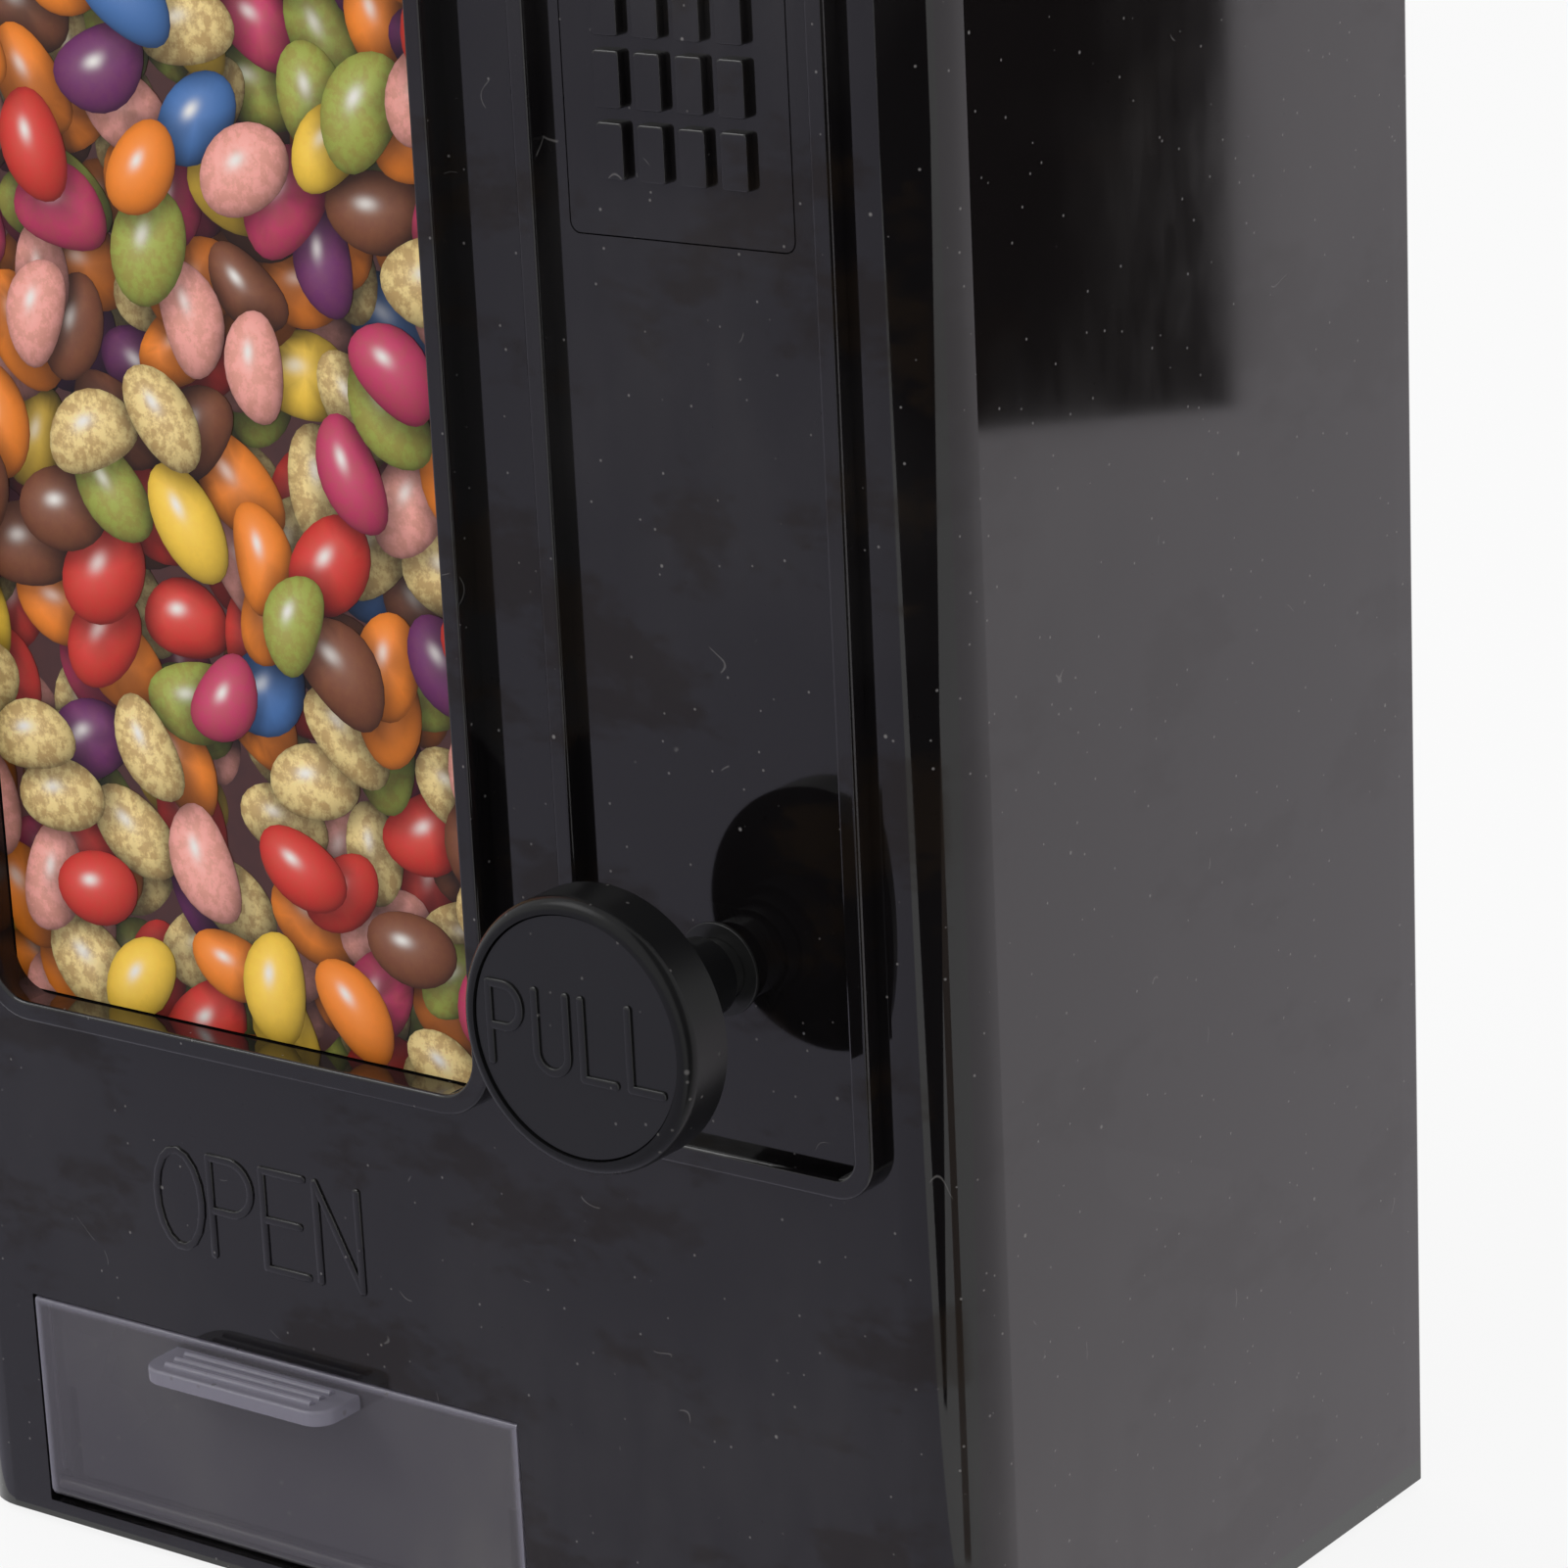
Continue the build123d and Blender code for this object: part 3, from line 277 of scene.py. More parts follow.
def bean_layout(low, high, length, seed):
    """Centres, turns, half sizes, bends and kinds of the beans on the card.

    They start as rows of a triangular pattern, shaken by up to a third of the pitch. Each layer has its
    own rows, and later beans lie on earlier ones.
    """
    random = np.random.default_rng(seed)
    pitch_x, pitch_z = [share * length for share in PITCH_SHARES]
    layers = len(LAYER_SHARES)
    centres = []
    for layer, taken in enumerate(LAYER_SHARES):
        columns = np.arange(low[0] - length, high[0] + length, pitch_x)
        rows = np.arange(low[1] - length, high[1] + length, pitch_z)
        x, z = np.meshgrid(columns, rows)
        x = x + 0.5 * pitch_x * (np.arange(len(rows)) % 2)[:, None] + layer * pitch_x / layers
        z = z + layer * pitch_z / layers
        places = np.stack([x.ravel(), z.ravel()], axis=1)
        places += random.uniform(-SHAKE, SHAKE, places.shape) * (pitch_x, pitch_z)
        centres.append(places[random.random(len(places)) < taken])
    centres = np.concatenate(centres)
    margin = EDGE_SHARE * length
    centres = centres[np.all((centres > low - margin) & (centres < high + margin), axis=1)]
    count = len(centres)
    turn = random.uniform(0, np.pi, count)
    half_long = 0.5 * length * random.uniform(*LENGTH_SPREAD, count)
    half_short = half_long * random.uniform(*WIDTH_SPREAD, count)
    bend = half_short * random.uniform(-BEND_SPREAD, BEND_SPREAD, count)
    shares = np.array([kind[0] for kind in CANDY])
    kind = random.choice(len(CANDY), count, p=shares / shares.sum())
    return centres, turn, half_long, half_short, bend, kind


def bean_points(layout, low, high):
    """The beans' points on the card, ring by ring.

    A point at distance q from the middle and angle t goes to q a cos t along the bean and
    q b sin t + bend ((q cos t)^2 - 1/2) across it. Points beyond the card's edge are moved onto it.
    """
    centres = layout[0]
    turn, half_long, half_short, bend = [value[:, None] for value in layout[1:5]]
    t = np.linspace(0, 2 * np.pi, BEAN_SEGMENTS, endpoint=False)
    q = np.array(TOP_RINGS + UNDERSIDE_RINGS)[:, None]
    u = (q * np.cos(t)).ravel()
    v = (q * np.sin(t)).ravel()
    along = half_long * u
    across = half_short * v + bend * (u ** 2 - 0.5)
    x = centres[:, :1] + along * np.cos(turn) - across * np.sin(turn)
    z = centres[:, 1:] + along * np.sin(turn) + across * np.cos(turn)
    return np.clip(np.stack([x, z], axis=2), low, high)


def to_disc(points, centres, turn, half_long, half_short, bend):
    """Where points lie in beans: their place along and across each bean, in half sizes of it."""
    away = points - centres
    along = (away[..., 0] * np.cos(turn) + away[..., 1] * np.sin(turn)) / half_long
    across = away[..., 1] * np.cos(turn) - away[..., 0] * np.sin(turn)
    return along, (across - bend * (along ** 2 - 0.5)) / half_short


def bean_shade(points, layout):
    """How much light the beans on top leave to each point of the beans below.

    A point moved towards the light lies r half sizes from a higher bean's middle. The bean takes light
    away in a soft step, from full shade at SHADOW_CORE to none at SHADOW_REACH.
    """
    centres, turn, half_long, half_short, bend, _ = layout
    lit = points + SHADOW_SHIFT * LIGHT[:2]
    shade = np.ones(points.shape[:2])
    order = np.arange(len(centres))
    for point in range(points.shape[1]):
        along, across = to_disc(lit[:, point, None], centres[None], turn, half_long, half_short, bend)
        r = np.sqrt(along ** 2 + across ** 2)
        step = np.clip((r - SHADOW_CORE) / (SHADOW_REACH - SHADOW_CORE), 0, 1)
        clear = SHADOW_LIGHT + (1 - SHADOW_LIGHT) * step * step * (3 - 2 * step)
        clear[order[None] <= order[:, None]] = 1
        shade[:, point] = clear.prod(axis=1)
    return shade


def bean_light(turn):
    """The painted light's direction in each bean's own axes: along it, across it and out of the card."""
    cos, sin = np.cos(turn), np.sin(turn)
    along = cos * LIGHT[0] + sin * LIGHT[1]
    across = cos * LIGHT[1] - sin * LIGHT[0]
    return np.stack([along, across, np.full_like(turn, LIGHT[2])], axis=1) / np.linalg.norm(LIGHT)


def keep_values(mesh, values):
    """Keeps arrays as attributes of a mesh's points: vectors, or colours where there are four parts."""
    for name, array in values.items():
        kind, field = ("FLOAT_COLOR", "color") if array.shape[-1] == 4 else ("FLOAT_VECTOR", "vector")
        layer = mesh.attributes.new(name, kind, "POINT")
        layer.data.foreach_set(field, array.astype(np.float32).ravel())


def print_mesh(name, low, high, plane_y, length, seed):
    """The printed beans: thin ovals that lie on each other like layers of ink."""
    layout = bean_layout(low, high, length, seed)
    centres, turn, half_long, half_short, bend, kind = layout
    flat = bean_points(layout, low, high)
    count, each = flat.shape[:2]
    height = PRINT_STEP * (1 + np.arange(count))[:, None] * np.ones(each)
    height[:, len(TOP_RINGS) * BEAN_SEGMENTS:] = -PRINT_DEPTH
    points = np.stack([flat[..., 0], plane_y - height, flat[..., 1]], axis=2)
    faces = grid_faces(each // BEAN_SEGMENTS, BEAN_SEGMENTS, False, True)
    faces = faces[None] + (each * np.arange(count))[:, None, None]
    mesh = bpy.data.meshes.new(name)
    mesh.from_pydata(points.reshape(-1, 3), [], faces.reshape(-1, 4))

    place = to_disc(flat, centres[:, None], turn[:, None], half_long[:, None], half_short[:, None],
                    bend[:, None])
    colours = np.array([(*colour, mottled) for _, colour, mottled in CANDY])[kind]
    same = np.ones(each)[None, :, None]
    keep_values(mesh, {
        "bean_place": np.stack([*place, bean_shade(flat, layout)], axis=2),
        "bean_light": bean_light(turn)[:, None] * same,
        "bean_colour": colours[:, None] * same,
    })
    turn_outwards(mesh, merge=False)
    return mesh


# Shader maths

class Wire:
    """A node's output. Arithmetic on it adds Math nodes to the same material."""

    def __init__(self, paint, socket):
        self.paint = paint
        self.socket = socket

    def other(self, output):
        """Another output of the same node."""
        return Wire(self.paint, self.socket.node.outputs[output])

    def __add__(self, other):
        return self.paint.maths("ADD", self, other)

    def __radd__(self, other):
        return self.paint.maths("ADD", other, self)

    def __sub__(self, other):
        return self.paint.maths("SUBTRACT", self, other)

    def __rsub__(self, other):
        return self.paint.maths("SUBTRACT", other, self)

    def __mul__(self, other):
        return self.paint.maths("MULTIPLY", self, other)

    def __rmul__(self, other):
        return self.paint.maths("MULTIPLY", other, self)

    def __pow__(self, other):
        return self.paint.maths("POWER", self, other)


class Paint:
    """A material in the making: one Principled surface and the nodes that feed it."""

    def __init__(self, name, fixed):
        self.material = bpy.data.materials.new(name)
        self.material.use_nodes = True
        self.tree = self.material.node_tree
        self.tree.nodes.clear()
        self.surface = self.node("ShaderNodeBsdfPrincipled")
        self.output = self.tree.nodes.new("ShaderNodeOutputMaterial")
        self.coordinates = None
        self.show(self.surface)
        self.feed(fixed)

    def show(self, shader):
        """Makes a shader the material's look."""
        self.connect(self.output.inputs["Surface"], shader)

    def node(self, kind, inputs=None, output=0, **settings):
        """Adds a node: its settings come first, then the values or links of its sockets."""
        made = self.tree.nodes.new(kind)
        for key, value in settings.items():
            if key == "stops":
                self.fill_ramp(made.color_ramp, value)
            else:
                setattr(made, key, value)
        for key, value in (inputs or {}).items():
            self.connect(made.inputs[key], value)
        return Wire(self, made.outputs[output])

    def connect(self, socket, value):
        """Links a wire to a socket, or writes a plain value in it."""
        if isinstance(value, Wire):
            self.tree.links.new(value.socket, socket)
        elif socket.type == "RGBA" and len(value) == 3:
            socket.default_value = (*value, 1)
        else:
            socket.default_value = value

    def fill_ramp(self, ramp, stops):
        """Sets the stops of a ramp: pairs of a place and a grey value."""
        while len(ramp.elements) < len(stops):
            ramp.elements.new(1)
        for element, (place, grey) in zip(ramp.elements, stops):
            element.position = place
            element.color = (grey, grey, grey, 1)

    def feed(self, inputs):
        """Values or links for the surface's own sockets."""
        for key, value in inputs.items():
            self.connect(self.surface.socket.node.inputs[key], value)

    def maths(self, operation, first, second=0.0):
        """One Math node on one or two numbers."""
        return self.node("ShaderNodeMath", {0: first, 1: second}, operation=operation)

    def larger(self, first, second):
        """The larger of two numbers."""
        return self.maths("MAXIMUM", first, second)

    def smaller(self, first, second):
        """The smaller of two numbers."""
        return self.maths("MINIMUM", first, second)

    def vector(self, operation, first, second=None, output=0):
        """One Vector Math node on one or two vectors."""
        inputs = {0: first} if second is None else {0: first, 1: second}
        return self.node("ShaderNodeVectorMath", inputs, output, operation=operation)

    def dot(self, first, second):
        """The dot product of two vectors, and 0 where that is negative."""
        return self.larger(self.vector("DOT_PRODUCT", first, second, "Value"), 0.0)

    def parts(self, vector):
        """The three parts of a vector."""
        x = self.node("ShaderNodeSeparateXYZ", {0: vector})
        return x, x.other(1), x.other(2)

    def blend(self, share, first, second, how="MIX"):
        """Goes from one colour to another. On a Mix node these are sockets 0, 6 and 7, and output 2."""
        inputs = {0: share, 6: first, 7: second}
        return self.node("ShaderNodeMix", inputs, 2, data_type="RGBA", blend_type=how)

    def ramp(self, value, *stops):
        """A grey that follows a value through its stops."""
        return self.node("ShaderNodeValToRGB", {0: value}, stops=stops)

    def place(self):
        """Object coordinates, from one node that the whole material shares."""
        if self.coordinates is None:
            self.coordinates = self.node("ShaderNodeTexCoord", output="Object")
        return self.coordinates

    def noise(self, scale, detail=2.0, rough=0.5, stretch=(1, 1, 1)):
        """Soft random values on Object coordinates; the scale is in features per metre."""
        place = self.vector("MULTIPLY", self.place(), stretch)
        inputs = {"Vector": place, "Scale": scale, "Detail": detail, "Roughness": rough}
        return self.node("ShaderNodeTexNoise", inputs)

    def bump(self, height, strength, distance):
        """Lets a height tilt the surface."""
        inputs = {"Height": height, "Strength": strength, "Distance": distance}
        self.feed({"Normal": self.node("ShaderNodeBump", inputs)})


# Dirt

# The even core of a speck, as a share of its size
SPECK_CORE = 0.6

# How far a noise may be from its middle inside a hair and at its soft edge
HAIR_CORE = 0.0015
HAIR_EDGE = 0.0035

# Y where the front begins, which has most of the smears
SMEARED_FRONT = -44 * MM


def dust(paint, per_metre, size, share):
    """Specks of dust: round spots at random places, where a share of the cells holds one."""
    distance = paint.node("ShaderNodeTexVoronoi", {"Vector": paint.place(), "Scale": per_metre}, "Distance")
    held = paint.node("ShaderNodeSeparateColor", {0: distance.other("Color")})
    spot = paint.ramp(distance, (SPECK_CORE * size, 1.0), (size, 0.0))
    return spot * paint.maths("LESS_THAN", held, share)


def fibres(paint, scale, share):
    """Short hairs: thin lines where a soft noise crosses its middle, kept where another is high."""
    bend = paint.maths("ABSOLUTE", paint.noise(scale, detail=1.0) - 0.5)
    patches = paint.noise(1.7 * scale, detail=1.0, stretch=(1.0, 0.8, 1.1))
    kept = paint.ramp(patches, (share, 0.0), (share + 0.02, 1.0))
    return paint.ramp(bend, (HAIR_CORE, 1.0), (HAIR_EDGE, 0.0)) * kept


def litter(paint, coarse, fine, hairs, hair_strength):
    """Large specks, fainter small ones and hairs. The specks are given as cells per metre, size and
    share, and the hairs as scale and share."""
    specks = paint.larger(dust(paint, *coarse), dust(paint, *fine) * 0.8)
    return paint.larger(specks, fibres(paint, *hairs) * hair_strength)


def smudges(paint):
    """Finger marks: wide soft patches with finer streaks inside them."""
    patches = paint.ramp(paint.noise(16, detail=3.0), (0.46, 0.0), (0.66, 1.0))
    streaks = paint.noise(150, detail=4.0, rough=0.65, stretch=(1, 1, 0.35))
    return patches * paint.ramp(streaks, (0.35, 0.3), (0.7, 1.0))


def greasy_smears(paint):
    """Flat patches of grease, wider than high: whole on the front, and a fifth as strong elsewhere."""
    patches = paint.noise(48, detail=5.0, rough=0.68, stretch=(0.6, 0.6, 1.2))
    _, y, _ = paint.parts(paint.place())
    front = paint.ramp((SMEARED_FRONT - y) * (1 / MM), (0.2, 0.2), (1.0, 1.0))
    return paint.ramp(patches, (0.54, 0.0), (0.61, 1.0)) * front


# Materials

# From the front of the flap's pin to the front of its plate
PIN_TO_FLAP_FRONT = 0.85 * MM

# How the print lights a bean: what all of it gets, and what its raised middle and the light add
BEAN_AMBIENT = 0.26
BEAN_CROWN = 0.37
BEAN_LIT = 0.79


def smoke_plastic(colours):
    """Glossy smoke-tinted plastic: nearly black, faintly see-through, with finger marks and dust.
    Half of its shine is a coat, which greasy smears take away."""
    paint = Paint("smoke_plastic", {"IOR": 1.5, "Specular IOR Level": 0.25, "Coat IOR": 1.5,
                                    "Coat Roughness": 0.05, "Alpha": 0.95})
    marks = smudges(paint)
    smears = greasy_smears(paint)
    specks = litter(paint, (150, 0.042, 0.6), (480, 0.09, 0.5), (100, 0.70), hair_strength=0.6)
    tint = paint.blend(paint.noise(9), colours.smoke, [1.35 * part for part in colours.smoke])
    tint = paint.blend(smears * 0.6, tint, colours.smear)
    tint = paint.blend(marks * 0.08, tint, colours.dust)
    paint.feed({
        "Base Color": paint.blend(specks * 0.85, tint, colours.dust),
        "Roughness": 0.05 + marks * 0.09 + smears * 0.05 + specks * 0.5,
        "Coat Weight": 0.5 - smears * 0.32,
    })
    paint.bump(paint.noise(1400), strength=0.03, distance=0.02 * MM)
    return paint.material


def black_plastic(name, colour, roughness, grain, dust_colour, shine=0.42):
    """Moulded black plastic with a fine grain, a little uneven in gloss, and some dust."""
    paint = Paint(name, {"IOR": 1.45, "Specular IOR Level": shine})
    marks = smudges(paint)
    specks = litter(paint, (170, 0.07, 0.5), (520, 0.11, 0.5), (130, 0.72), hair_strength=0.5)
    tint = paint.blend(paint.noise(60, detail=3.0), colour, [1.5 * part for part in colour])
    paint.feed({
        "Base Color": paint.blend(specks * 0.5, tint, dust_colour),
        "Roughness": roughness + marks * 0.08 + specks * 0.3,
    })
    paint.bump(paint.noise(2600), grain, distance=0.05 * MM)
    return paint.material


def near_edges(paint, low, high):
    """How near a point lies to the flap's sides or top, from 1 at the edge to 0 a little further in: the
    mask of the painted light on the flap's edges.
    """
    x, _, z = paint.parts(paint.place())
    side = paint.smaller(x - float(low[0]), float(high[0]) - x)
    nearest = paint.smaller(side, float(high[2]) - z)
    return paint.ramp(nearest * (1 / MM), (0.15, 0.9), (0.8, 0.25), (1.0, 0.0))


def clear_plastic(colours):
    """The flap's clear plastic, with faint flow lines, scratches and finger marks. Its edges and its
    finger tab get painted light: their colour is painted paler than the plate's."""
    low, high = np.array(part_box("delivery_flap"))
    plate_y = float(np.array(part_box("flap_pin"))[0][1] - PIN_TO_FLAP_FRONT)
    paint = Paint("clear_plastic", {"IOR": 1.5, "Alpha": 0.62})
    marks = smudges(paint)
    scratches = paint.ramp(paint.noise(900, detail=1.0, stretch=(0.05, 1, 1)), (0.62, 0.0), (0.72, 1.0))
    specks = paint.larger(dust(paint, 300, 0.12, 0.5), fibres(paint, 90, 0.62) * 0.8)
    _, y, _ = paint.parts(paint.place())
    # Painted light: the tab in front of the plate and the parts near the sides and top are painted paler
    tab = paint.ramp((plate_y - y) * (1 / MM), (0.05, 0.0), (0.4, 1.0))
    painted_edge_light = paint.larger(near_edges(paint, low, high), tab * 0.85)
    tint = paint.blend(marks * 0.7, colours.clear, colours.dust)
    tint = paint.blend(painted_edge_light, tint, colours.edge)
    paint.feed({
        "Base Color": paint.blend(specks * 0.6, tint, colours.dust),
        "Roughness": 0.06 + marks * 0.16 + scratches * 0.1,
    })
    paint.bump(paint.noise(120), strength=0.05, distance=0.2 * MM)
    return paint.material


def zinc_steel(colours):
    """Zinc-plated steel: cloudy grey metal with fine turning marks."""
    paint = Paint("zinc_steel", {"Metallic": 1.0})
    cloud = paint.noise(700, detail=4.0, rough=0.6)
    paint.feed({
        "Base Color": paint.blend(cloud, colours.steel, [0.7 * part for part in colours.steel]),
        "Roughness": 0.22 + cloud * 0.2,
    })
    paint.bump(paint.noise(3000), strength=0.1, distance=0.02 * MM)
    return paint.material


def foot_rubber():
    """Matt rubber with a fine grain and a dusty film."""
    paint = Paint("foot_rubber", {"IOR": 1.4})
    film = paint.noise(500, detail=4.0, rough=0.6)
    paint.feed({
        "Base Color": paint.blend(film, (0.016, 0.016, 0.016), (0.045, 0.043, 0.042)),
        "Roughness": 0.6 + film * 0.25,
    })
    paint.bump(paint.noise(2400, detail=3.0), strength=0.25, distance=0.1 * MM)
    return paint.material


def card_ink():
    """The card under the print: dark ink, a little uneven."""
    paint = Paint("card_ink", {"Roughness": 0.4})
    cloud = paint.noise(300, detail=3.0)
    paint.feed({"Base Color": paint.blend(cloud, (0.035, 0.007, 0.006), (0.075, 0.016, 0.010))})
    paint.bump(paint.noise(2000), strength=0.05, distance=0.02 * MM)
    return paint.material


def candy_print():
    """Printed candy beans, each shaded as a round shape lit from the upper left.

    A bean's height above its rim is the square root of 1 - along^2 - across^2, which gives its normal.
    Its glints are powers of the dot product of that normal and the middle between light and view.
    """
    paint = Paint("candy_print", {"Roughness": 0.34, "Specular IOR Level": 0.22})
    place = paint.node("ShaderNodeAttribute", output="Vector", attribute_name="bean_place")
    light = paint.node("ShaderNodeAttribute", output="Vector", attribute_name="bean_light")
    colour = paint.node("ShaderNodeAttribute", output="Color", attribute_name="bean_colour")
    along, across, shade = paint.parts(place)
    high = paint.larger(1 - along * along - across * across, 0.0) ** 0.5
    normal = paint.node("ShaderNodeCombineXYZ", {0: along * 0.8, 1: across, 2: high + 0.12})
    normal = paint.vector("NORMALIZE", normal)
    half_way = paint.vector("NORMALIZE", paint.vector("ADD", light, (0, 0, 1)))
    glint = paint.dot(normal, half_way)
    spots = paint.ramp(paint.noise(700, detail=3.0, rough=0.7), (0.42, 1.0), (0.58, 0.0))
    skin = paint.blend(spots * colour.other("Alpha") * 0.55, colour, (0.30, 0.13, 0.035))
    bright = (BEAN_AMBIENT + BEAN_CROWN * high + paint.dot(normal, light) * BEAN_LIT) * shade
    skin = paint.blend(1.0, skin, bright, how="MULTIPLY")
    shine = (glint ** 90 * 0.85 + glint ** 9 * 0.07) * shade
    paint.feed({"Base Color": paint.blend(shine, skin, (1.0, 0.97, 0.92))})
    paint.bump(paint.noise(2000), strength=0.04, distance=0.02 * MM)
    return paint.material


# Settings

def colour_property(name, description, default):
    """A colour that a user may change."""
    return FloatVectorProperty(name=name, description=description, subtype="COLOR", size=3,
                               min=0.0, max=1.0, default=default)


def length_property(name, description, default):
    """A length that a user may change."""
    return FloatProperty(name=name, description=description, subtype="DISTANCE", unit="LENGTH",
                         min=0.0, default=default)


class DispenserFinishes(bpy.types.PropertyGroup):
    """Colours of the plastics, the steel and the dust."""

    smoke: colour_property("Smoke", "Housing and inserts", (0.0050, 0.0044, 0.0048))
    gloss: colour_property("Gloss black", "Knob, lid, rear cover and drawer", (0.0060, 0.0060, 0.0064))
    satin: colour_property("Satin black", "Inner mouldings", (0.012, 0.012, 0.012))
    bin: colour_property("Bin", "Candy bin", (0.030, 0.024, 0.020))
    clear: colour_property("Clear", "Delivery flap", (0.112, 0.104, 0.122))
    # Colour of the painted light on the flap's edges and tab
    edge: colour_property("Clear edges", "Edges and tab of the flap", (0.34, 0.325, 0.40))
    steel: colour_property("Steel", "Screws, nut, pins and spring", (0.58, 0.57, 0.55))
    smear: colour_property("Smears", "Greasy smears on the housing", (0.014, 0.0095, 0.0065))
    dust: colour_property("Dust", "Dust and finger marks", (0.20, 0.19, 0.185))


class DispenserWords(bpy.types.PropertyGroup):
    """Raised words on the knob and above the flap."""

    knob_height: length_property("Knob letters", "Height of the letters on the knob", 8.6 * MM)
    knob_wide: length_property("Knob letter width", "Width of a letter on the knob", 4.1 * MM)
    knob_pitch: length_property("Knob pitch", "From one letter of the knob to the next", 6.1 * MM)
    front_height: length_property("Front letters", "Height of the letters above the flap", 12.2 * MM)
    front_wide: length_property("Front letter width", "Width of a letter above the flap", 6.3 * MM)
    front_pitch: length_property("Front pitch", "From one letter above the flap to the next", 8.2 * MM)
    front_left: FloatProperty(name="Front left", description="Left edge of the word above the flap",
                              subtype="DISTANCE", unit="LENGTH", default=-39.0 * MM)
    front_bottom: length_property("Front bottom", "Height of that word's foot above the table", 42.0 * MM)
    stroke: length_property("Stroke", "Width of a stroke", 1.0 * MM)
    rise: length_property("Rise", "How far a stroke stands out", 0.3 * MM)
    wall: length_property("Front wall", "Thickness of the front wall, which the bush nut bears on", 2.2 * MM)


class DispenserPicture(bpy.types.PropertyGroup):
    """The printed candy."""

    bean_length: length_property("Bean length", "Length of a printed bean", 14.0 * MM)
    seed: IntProperty(name="Seed", description="Number that the random layout starts from", default=11)


class DispenserSpring(bpy.types.PropertyGroup):
    """The return spring's wire."""

    wire_radius: length_property("Wire radius", "Half the wire's thickness", 0.4 * MM)
    turns: IntProperty(name="Turns", description="Number of curls", min=2, default=7)
    pull: length_property("Pull", "How far the knob compresses the spring", 20.0 * MM)


class DispenserStage(bpy.types.PropertyGroup):
    """The studio and its camera."""

    camera_place: FloatVectorProperty(name="Camera place", description="Where the camera stands",
                                      subtype="TRANSLATION", unit="LENGTH", size=3,
                                      default=(0.37408, -0.46996, 0.27442))
    azimuth: FloatProperty(name="Azimuth", description="Turn of the view about the vertical",
                           subtype="ANGLE", unit="ROTATION", default=math.radians(37.020))
    elevation: FloatProperty(name="Elevation", description="How far the view looks down",
                             subtype="ANGLE", unit="ROTATION", default=math.radians(17.051))
    roll: FloatProperty(name="Roll", description="Turn of the picture", subtype="ANGLE",
                        unit="ROTATION", default=math.radians(2.693))
    lens: FloatProperty(name="Lens", description="Focal length in millimetres on a 36 mm sensor",
                        default=122.50)
    key_power: FloatProperty(name="Key", description="Power of the key light", unit="POWER", default=7.0)
    fill_power: FloatProperty(name="Fill", description="Power of the fill light", unit="POWER", default=3.0)


GROUPS = {
    "dispenser_finishes": DispenserFinishes,
    "dispenser_words": DispenserWords,
    "dispenser_picture": DispenserPicture,
    "dispenser_spring": DispenserSpring,
    "dispenser_stage": DispenserStage,
}


# Pieces

KNOB_WORD = "PULL"
FRONT_WORD = "OPEN"

SPRING_STEPS = 32
WIRE_SIDES = 10

# The close turns at each end of the spring: how many, and their pitch as a share of its length
CLOSE_TURNS = 0.75
CLOSE_PITCH = 0.035


def dress(node, material):
    """Gives a packed node its material, through the slots of its object."""
    piece = bpy.data.objects[node]
    if not piece.material_slots:
        raise RuntimeError(f"{node} has no material slot")
    for slot in piece.material_slots:
        slot.link = "OBJECT"
        slot.material = material


class DISPENSER_OT_finishes(bpy.types.Operator):
    """Give every packed node its procedural material"""

    bl_idname = "dispenser.finishes"
    bl_label = "Finishes"

    def execute(self, context):
        colours = context.scene.dispenser_finishes
        dusty = colours.dust
        by_slot = {
            "smoke_shell": smoke_plastic(colours),
            "black_gloss": black_plastic("gloss_black", colours.gloss, 0.22, 0.10, dusty),
            "black_matte": black_plastic("satin_black", colours.satin, 0.42, 0.20, dusty),
            "bin_plastic": black_plastic("bin_brown", colours.bin, 0.40, 0.20, dusty),
            "slide_plastic": black_plastic("slide_black", colours.satin, 0.30, 0.12, dusty),
            "clear_flap": clear_plastic(colours),
            "printed_card": card_ink(),
            "steel": zinc_steel(colours),
            "foot_rubber": foot_rubber(),
        }
        for subpart in frame["record"]["subparts"]:
            dress(subpart["node"], by_slot[subpart["material_slot"]])
        dress("knob_body", black_plastic("knob_black", colours.gloss, 0.26, 0.10, dusty, shine=0.22))
        return {"FINISHED"}


class DISPENSER_OT_words(bpy.types.Operator):
    """Add the raised words on the knob and above the flap"""

    bl_idname = "dispenser.words"
    bl_label = "Words"

    def execute(self, context):
        sizes = context.scene.dispenser_words
        low, high = np.array(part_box("knob_cap"))
        whole = (len(KNOB_WORD) - 1) * sizes.knob_pitch + sizes.knob_wide
        left = (low[0] + high[0] - whole) / 2
        bottom = (low[2] + high[2] - sizes.knob_height) / 2
        letter = (sizes.knob_height, sizes.knob_wide, sizes.knob_pitch)
        grids = word_grids(KNOB_WORD, (left, low[1], bottom), letter, sizes)
        gloss = bpy.data.materials["gloss_black"]
        add_piece("knob_word", mesh_from_grids("knob_word", grids), "pull", gloss)

        front_y = np.array(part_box("bush_nut"))[0][1] - sizes.wall
        letter = (sizes.front_height, sizes.front_wide, sizes.front_pitch)
        grids = word_grids(FRONT_WORD, (sizes.front_left, front_y, sizes.front_bottom), letter, sizes)
        smoke = bpy.data.materials["smoke_plastic"]
        add_piece("front_word", mesh_from_grids("front_word", grids), "housing", smoke)
        return {"FINISHED"}


class DISPENSER_OT_picture(bpy.types.Operator):
    """Print the candy on the card"""

    bl_idname = "dispenser.picture"
    bl_label = "Picture"

    def execute(self, context):
        sizes = context.scene.dispenser_picture
        low, high = np.array(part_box("picture_card"))
        mesh = print_mesh("candy_picture", low[[0, 2]], high[[0, 2]], low[1], sizes.bean_length, sizes.seed)
        add_piece("candy_picture", mesh, "housing", candy_print())
        return {"FINISHED"}


